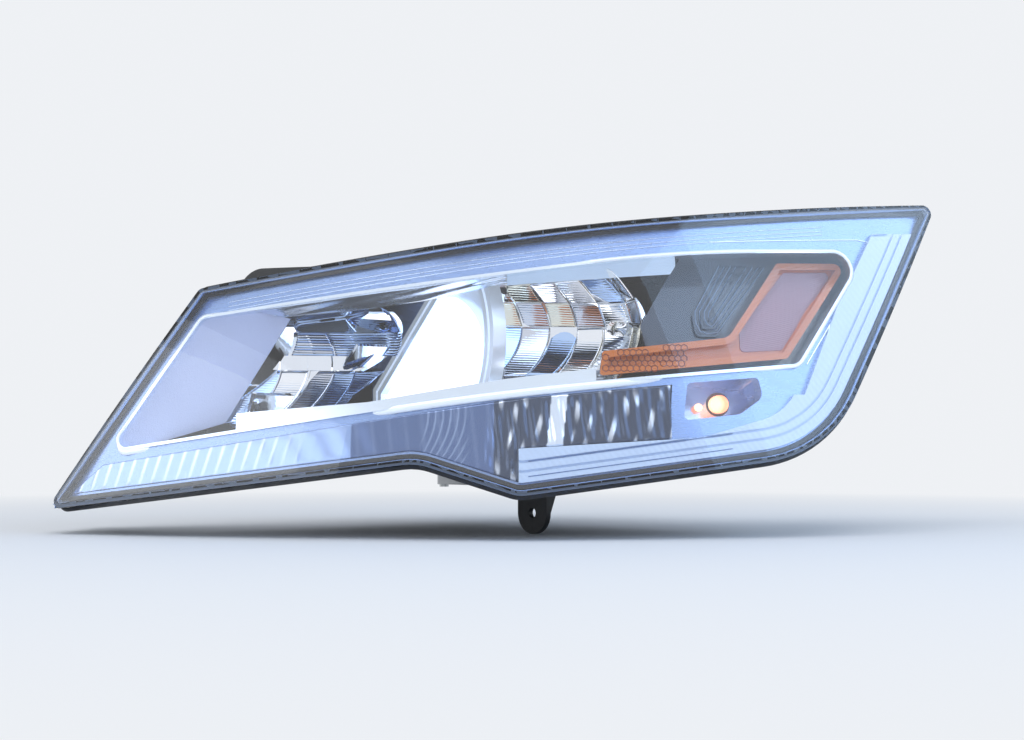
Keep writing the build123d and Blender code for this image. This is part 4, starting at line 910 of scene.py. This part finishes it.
def add_strip():
    """The fluted strip under the window, with its optics as relief and painted reflections and highlights in
    its color.
    """
    rows, tones = [], []
    for j in range(STRIP_LEVELS + 1):
        row = []
        for s in spread(STRIP_START, STRIP_END, STRIP_COLUMNS):
            low, high = strip_floor(s), strip_roof(s)
            z = low + (high - low) * j / STRIP_LEVELS
            fade = min(1.0, 6.0 * j / STRIP_LEVELS, 6.0 * (STRIP_LEVELS - j) / STRIP_LEVELS)
            row.append(skin_point(s, z, STRIP_DEPTH + 0.2 - fade * strip_relief(s, z)))
            tones.append(strip_color_and_painted_light(s, z, j / STRIP_LEVELS))
        rows.append(row)
    piece = add_sheet("fluted_strip_optics", rows, STRIP_WALL, MATERIALS["fluted_strip"], "lamp_body",
                      tones=tones)
    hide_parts("fluted_strip")


add_strip()

# Lip, hood and floor of the window, in millimetres
LIP_STEPS = 8
LIP_WIDTH = 2.8
LIP_FOOT = 2.6
LIP_DEPTH = 11.2
LIP_RISE = 1.7
BROW_FOOT = [(-160, -44), (-142, -48), (-100, -45), (-50, -38.5), (-10, -30.5), (6, -27)]
BROW_DEPTH = 14
CELL_FLOOR_X = 47.6
CELL_FLOOR_INBOARD = -66


def add_lip():
    """Rounded bright lip in front of the window's surround, widest along the bottom, with a painted highlight
    glow.
    """
    count = len(WINDOW_OUTLINE)
    rows = []
    for angle in spread(0, math.pi, LIP_STEPS):
        row = []
        for i in range(count + 1):
            here, ahead = WINDOW_OUTLINE[i % count], WINDOW_OUTLINE[(i + 1) % count]
            out = outward(ahead - WINDOW_OUTLINE[i - 1], here, WINDOW_MIDDLE)
            foot = LIP_FOOT * smooth_step(0.6, 0.95, -out.y)
            wide = LIP_WIDTH + foot * (1 - smooth_step(70, 150, here.x))
            spot = here + out * wide * (0.5 - 0.5 * math.cos(angle))
            row.append(skin_point(spot.x, spot.y, LIP_DEPTH - LIP_RISE * math.sin(angle)))
        rows.append(row)
    add_sheet("bright_lip", rows, 0.6, LIP_METAL_PAINTED_GLOW, "lamp_body")


def add_brow():
    """Bright hood inside the window's top edge over the inboard cell, sloping back in soft steps."""
    rows = []
    for share in spread(0, 1, 12):
        row = []
        for s in spread(BROW_FOOT[0][0], BROW_FOOT[-1][0], 60):
            high = edge_height(WINDOW_OUTLINE, s, True) - 0.3
            low = run_height(BROW_FOOT, s)
            step = 0.7 * math.sin(2 * math.pi * (share * 1.5 + s / 75.0))
            reach = 17 - 11 * smooth_step(-30, 6, s)
            row.append(skin_point(s, high + (low - high) * share, BROW_DEPTH + reach * share + step))
        rows.append(row)
    add_sheet("brow_hood", rows, 1.0, STREAKED_METAL, "lamp_body")


def add_cell_floor():
    """Dark blue floor from the inboard facets to the leaning side of the projector's frame."""
    rows = [[], []]
    for z in (-32, -50, -70, -90, -110, -122):
        leaning = 17.5 + (z + 40) * 63 / 65 - 14.5
        for row, y in zip(rows, (CELL_FLOOR_INBOARD, leaning)):
            row.append(Vector((CELL_FLOOR_X, y, z)) * MM)
    add_sheet("cell_floor", rows, 0.8, CELL_FLOOR, "optics", Vector((1, 0, 0)))


add_lip()
add_brow()
add_cell_floor()

# Line work and relief on the trims, in millimetres
OUTBOARD_LINE = [(203, -80), (256, -1), (257, 3), (254, 7), (246, 8), (140, 1.5)]
HONEYCOMB_SIZE = 2.3
HONEYCOMB_START = (66, -90)
HONEYCOMB_ROWS, HONEYCOMB_COLUMNS = 12, 20
ARM_OUTLINE = [(69, -86), (69.5, -74), (122, -67.5), (124, -81.5)]
ARM_DEPTH = 24.0
CHANNEL_DEPTH = 28.0
PANEL_CORNERS = [(160, -71.5, 3), (189, -69.5, 3), (229, -14.5, 3), (193, -16, 3), (160, -57, 6)]
PANEL_DEPTH = 27.4
BEAD_PLACE = (132.5, -108)
BORDER_INSET = 3.4


def edge_lines(top, shifts, ends, runs, depth):
    """Lines of a layer that keep their height from the lens's upper or lower edge."""
    return [[skin_point(s, edge_height(LENS_OUTLINE, s, top) + shift, depth) for s in spread(*ends, runs)]
            for shift in shifts]


def add_line_work():
    """Fine ribs along the upper trim, lines inside the guide, and a second line outboard of the lip."""
    ribs = edge_lines(True, (-12.5, -15.5, -18.0), (-178, 220), 69, 11.9)
    add_ribs("upper_trim_ribs", ribs, 0.35, RIB_METAL)
    guide = edge_lines(False, (11.5, 21.0), (20, 150), 59, 7.9)
    add_ribs("guide_lines", guide, 0.3, LINE_BLUE)
    second = layer_path(OUTBOARD_LINE, 11.8)
    add_ribs("outboard_line", [second], 0.5, MATERIALS["window_surround"], sides=8)


def add_honeycomb():
    """Six-sided cells over the amber reflector's inboard arm, deeper along its channel."""
    cells = []
    size = HONEYCOMB_SIZE
    for j in range(HONEYCOMB_ROWS):
        for i in range(HONEYCOMB_COLUMNS):
            x = HONEYCOMB_START[0] + i * size * math.sqrt(3) + (j % 2) * size * math.sqrt(3) / 2
            y = HONEYCOMB_START[1] + j * size * 1.5
            if not inside(ARM_OUTLINE, x, y):
                continue
            ring = [(x + size * math.sin(k * math.pi / 3), y + size * math.cos(k * math.pi / 3))
                    for k in range(7)]
            low, high = -83.5 + (x - 68) * 0.1, -76.5 + (x - 68) * 0.12
            depth = CHANNEL_DEPTH if x > 71 and low < y < high else ARM_DEPTH
            cells.append([skin_point(a, b, depth) for a, b in ring])
    add_ribs("amber_honeycomb", cells, 0.4, HONEYCOMB_AMBER, sides=5)


def add_sunk_panel():
    """Flat mauve panel sunk in the amber reflector, built of rings round its middle."""
    outline = rounded_outline(PANEL_CORNERS, 5)
    count = len(outline)
    middle = sum(outline, Vector((0, 0))) / count
    mesh = bmesh.new()
    rings = [[mesh.verts.new(skin_point(*(middle + (p - middle) * share), PANEL_DEPTH)) for p in outline]
             for share in (1.0, 0.8, 0.6, 0.4, 0.2)]
    for a, b in zip(rings, rings[1:]):
        for i in range(count):
            mesh.faces.new((a[i], a[(i + 1) % count], b[(i + 1) % count], b[i]))
    mesh.faces.new(rings[-1])
    face_towards(mesh, DRAW)
    data = bpy.data.meshes.new("amber_sunk_panel")
    mesh.to_mesh(data)
    mesh.free()
    data.materials.append(MAUVE_PANEL)
    add_piece("amber_sunk_panel", data, "lamp_body", 0.8)


def add_dark_ridges():
    """Nested ridges on the dark trim, from its upper edge round its foot and back."""
    ridges = []
    for k in range(4):
        line = [(149 + 4 * k, -12), (131 + 3.2 * k, -44), (131.5 + 3 * k, -52 + 1.6 * k),
                (134 + 2.6 * k, -57 + 2.3 * k), (139 + 1.4 * k, -59 + 2.5 * k),
                (146 - 1.2 * k, -58 + 2.5 * k), (181 - 4.2 * k, -12)]
        ridges.append(layer_path(line, 37.9 if k % 2 else 36.0))
    add_ribs("dark_trim_ridges", ridges, 0.42, RIDGE_BLUE)


def add_bead():
    """Second small glow of the turn lamp, a painted glow: the bead is no bulb."""
    path = [skin_point(*BEAD_PLACE, depth) for depth in (50.0, 46.0)]
    add_ribs("turn_reflector_bead", [path], 2.7, PAINTED_BEAD_GLOW, sides=16)


def add_painted_reflection_border():
    """Thin blue sheet inside the lens's skirt, a painted reflection that makes the skirt's edge look blue."""
    border = shrunk(LENS_CORNERS, BORDER_INSET)
    rows = [[skin_point(p.x, p.y, depth) for p in border + border[:1]] for depth in (4.0, 10.0, 16.0, 22.0)]
    add_sheet("lens_border", rows, 0.3, BORDER_BLUE_PAINTED_REFLECTION, "lamp_body")


add_line_work()
add_honeycomb()
add_sunk_panel()
add_dark_ridges()
add_bead()
add_painted_reflection_border()

# Webs of the housing and screws of the driver box
WEB_SIZE = (0.0016, 0.006, 0.011)
WEB_PITCH = 24.0
WEB_INSET = 1.3
WEB_DEPTH = 34.0
SCREW_PLACES = [(x * MM, y * MM, -0.1708) for x in (-79, -13) for y in (-57, 37)]
HEAD_DOWN = (math.pi, 0.0, 0.0)


def add_flange_webs():
    """Small stiffening webs between the housing's channel and the tray's wall."""
    points, turns = [], []
    travelled = 0.0
    for a, b in zip(LENS_OUTLINE, LENS_OUTLINE[1:] + LENS_OUTLINE[:1]):
        run = b - a
        if run.length < 0.01:
            continue
        out = outward(run, a, LENS_MIDDLE)
        while travelled < run.length:
            spot = a + run * (travelled / run.length) - out * WEB_INSET
            points.append(skin_point(spot.x, spot.y, WEB_DEPTH))
            side, back = ALONG * out.x + UP * out.y, -DRAW
            turns.append(tuple(Matrix((back.cross(side), side, back)).transposed().to_euler()))
            travelled += WEB_PITCH
        travelled -= run.length
    data = grown_mesh("flange_webs", point_mesh("flange_points", points, turns), BLOCKS, {
        "Size": WEB_SIZE, "Material": MATERIALS["housing"]})
    add_piece("flange_webs", data, "lamp_body")


def add_screws():
    """Screws at the driver box's corners."""
    base = point_mesh("driver_screw_points", SCREW_PLACES, [HEAD_DOWN] * len(SCREW_PLACES))
    data = grown_mesh("driver_screws", base, SCREWS, {"Material": MATERIALS["inboard_pivot_stud"]})
    add_piece("driver_screws", data, "lamp_body")


add_flange_webs()
add_screws()

# Studio
PALE = (0.86, 0.88, 0.91)
FLOOR_Z = cad_box[0][2] - 0.0005
FLOOR_SPAN = 30.0
FLOOR_FADE = (0.32, 0.95)
GROUND_TONE, SKY_TONE = (0.34, 0.37, 0.42, 1), (0.8, 0.86, 0.95, 1)
SKY_STRENGTH = 0.6


def make_floor():
    """Plain floor that fades into the background far from the lamp."""
    corners = [(x * FLOOR_SPAN, y * FLOOR_SPAN, FLOOR_Z) for x, y in ((-1, -1), (1, -1), (1, 1), (-1, 1))]
    mesh = plain_mesh("floor", corners, faces=[(0, 1, 2, 3)])
    floor = new_object("floor", mesh)
    material, w, shader = new_material("pale_floor")
    w.fill(shader.inputs, {"Base Color": (*PALE, 1), "Roughness": 0.9})
    far = w.ramp(w.vector("LENGTH", w.object_place())["Value"], *FLOOR_FADE)
    glow = w.add("ShaderNodeEmission", {"Color": (*PALE, 1), "Strength": 1.0})
    seen = seen_rays(w, "Is Glossy Ray", "Is Transmission Ray")
    w.end(w.math("MULTIPLY", far, seen), shader, glow)
    mesh.materials.append(material)


def make_world():
    """Soft sky over a darker ground, and a pale background for camera, glass and glossy rays."""
    world = bpy.data.worlds.new("studio")
    bpy.context.scene.world = world
    world.use_nodes = True
    w = Wiring(world.node_tree)
    back = w.nodes["Background"]
    height = w.split(w.add("ShaderNodeTexCoord").outputs["Generated"])["Z"]
    tone = w.mix(w.ramp(height, -0.1, 0.9), GROUND_TONE, SKY_TONE)
    w.fill(back.inputs, {"Color": tone, "Strength": SKY_STRENGTH})
    pale = w.add("ShaderNodeBackground", {"Color": (*PALE, 1), "Strength": 1.0})
    w.end(seen_rays(w, "Is Transmission Ray", "Is Glossy Ray"), back, pale, "World Output")


def make_lamp(name, place, target, size, watts, color=(1, 1, 1)):
    data = bpy.data.lights.new(name, "AREA")
    data.shape = "RECTANGLE"
    data.size, data.size_y = size
    data.energy = watts
    data.color = color
    lamp = new_object(name, data)
    lamp.location = place
    lamp.rotation_euler = turn_towards(place, target)


make_floor()
make_world()
make_lamp("overhead", place=(0.6, 0.5, 1.5), target=(0, 0, -0.1), size=(1.6, 0.9), watts=11)
make_lamp("front_left", place=(1.85, -0.3, 0.41), target=(0.15, 0, -0.14), size=(2.0, 0.7), watts=6,
          color=(0.9, 0.95, 1.0))
make_lamp("side", place=(-0.63, 1.54, 0.85), target=(0, 0.18, -0.09), size=(2.1, 1.1), watts=13,
          color=(0.45, 0.68, 1.0))
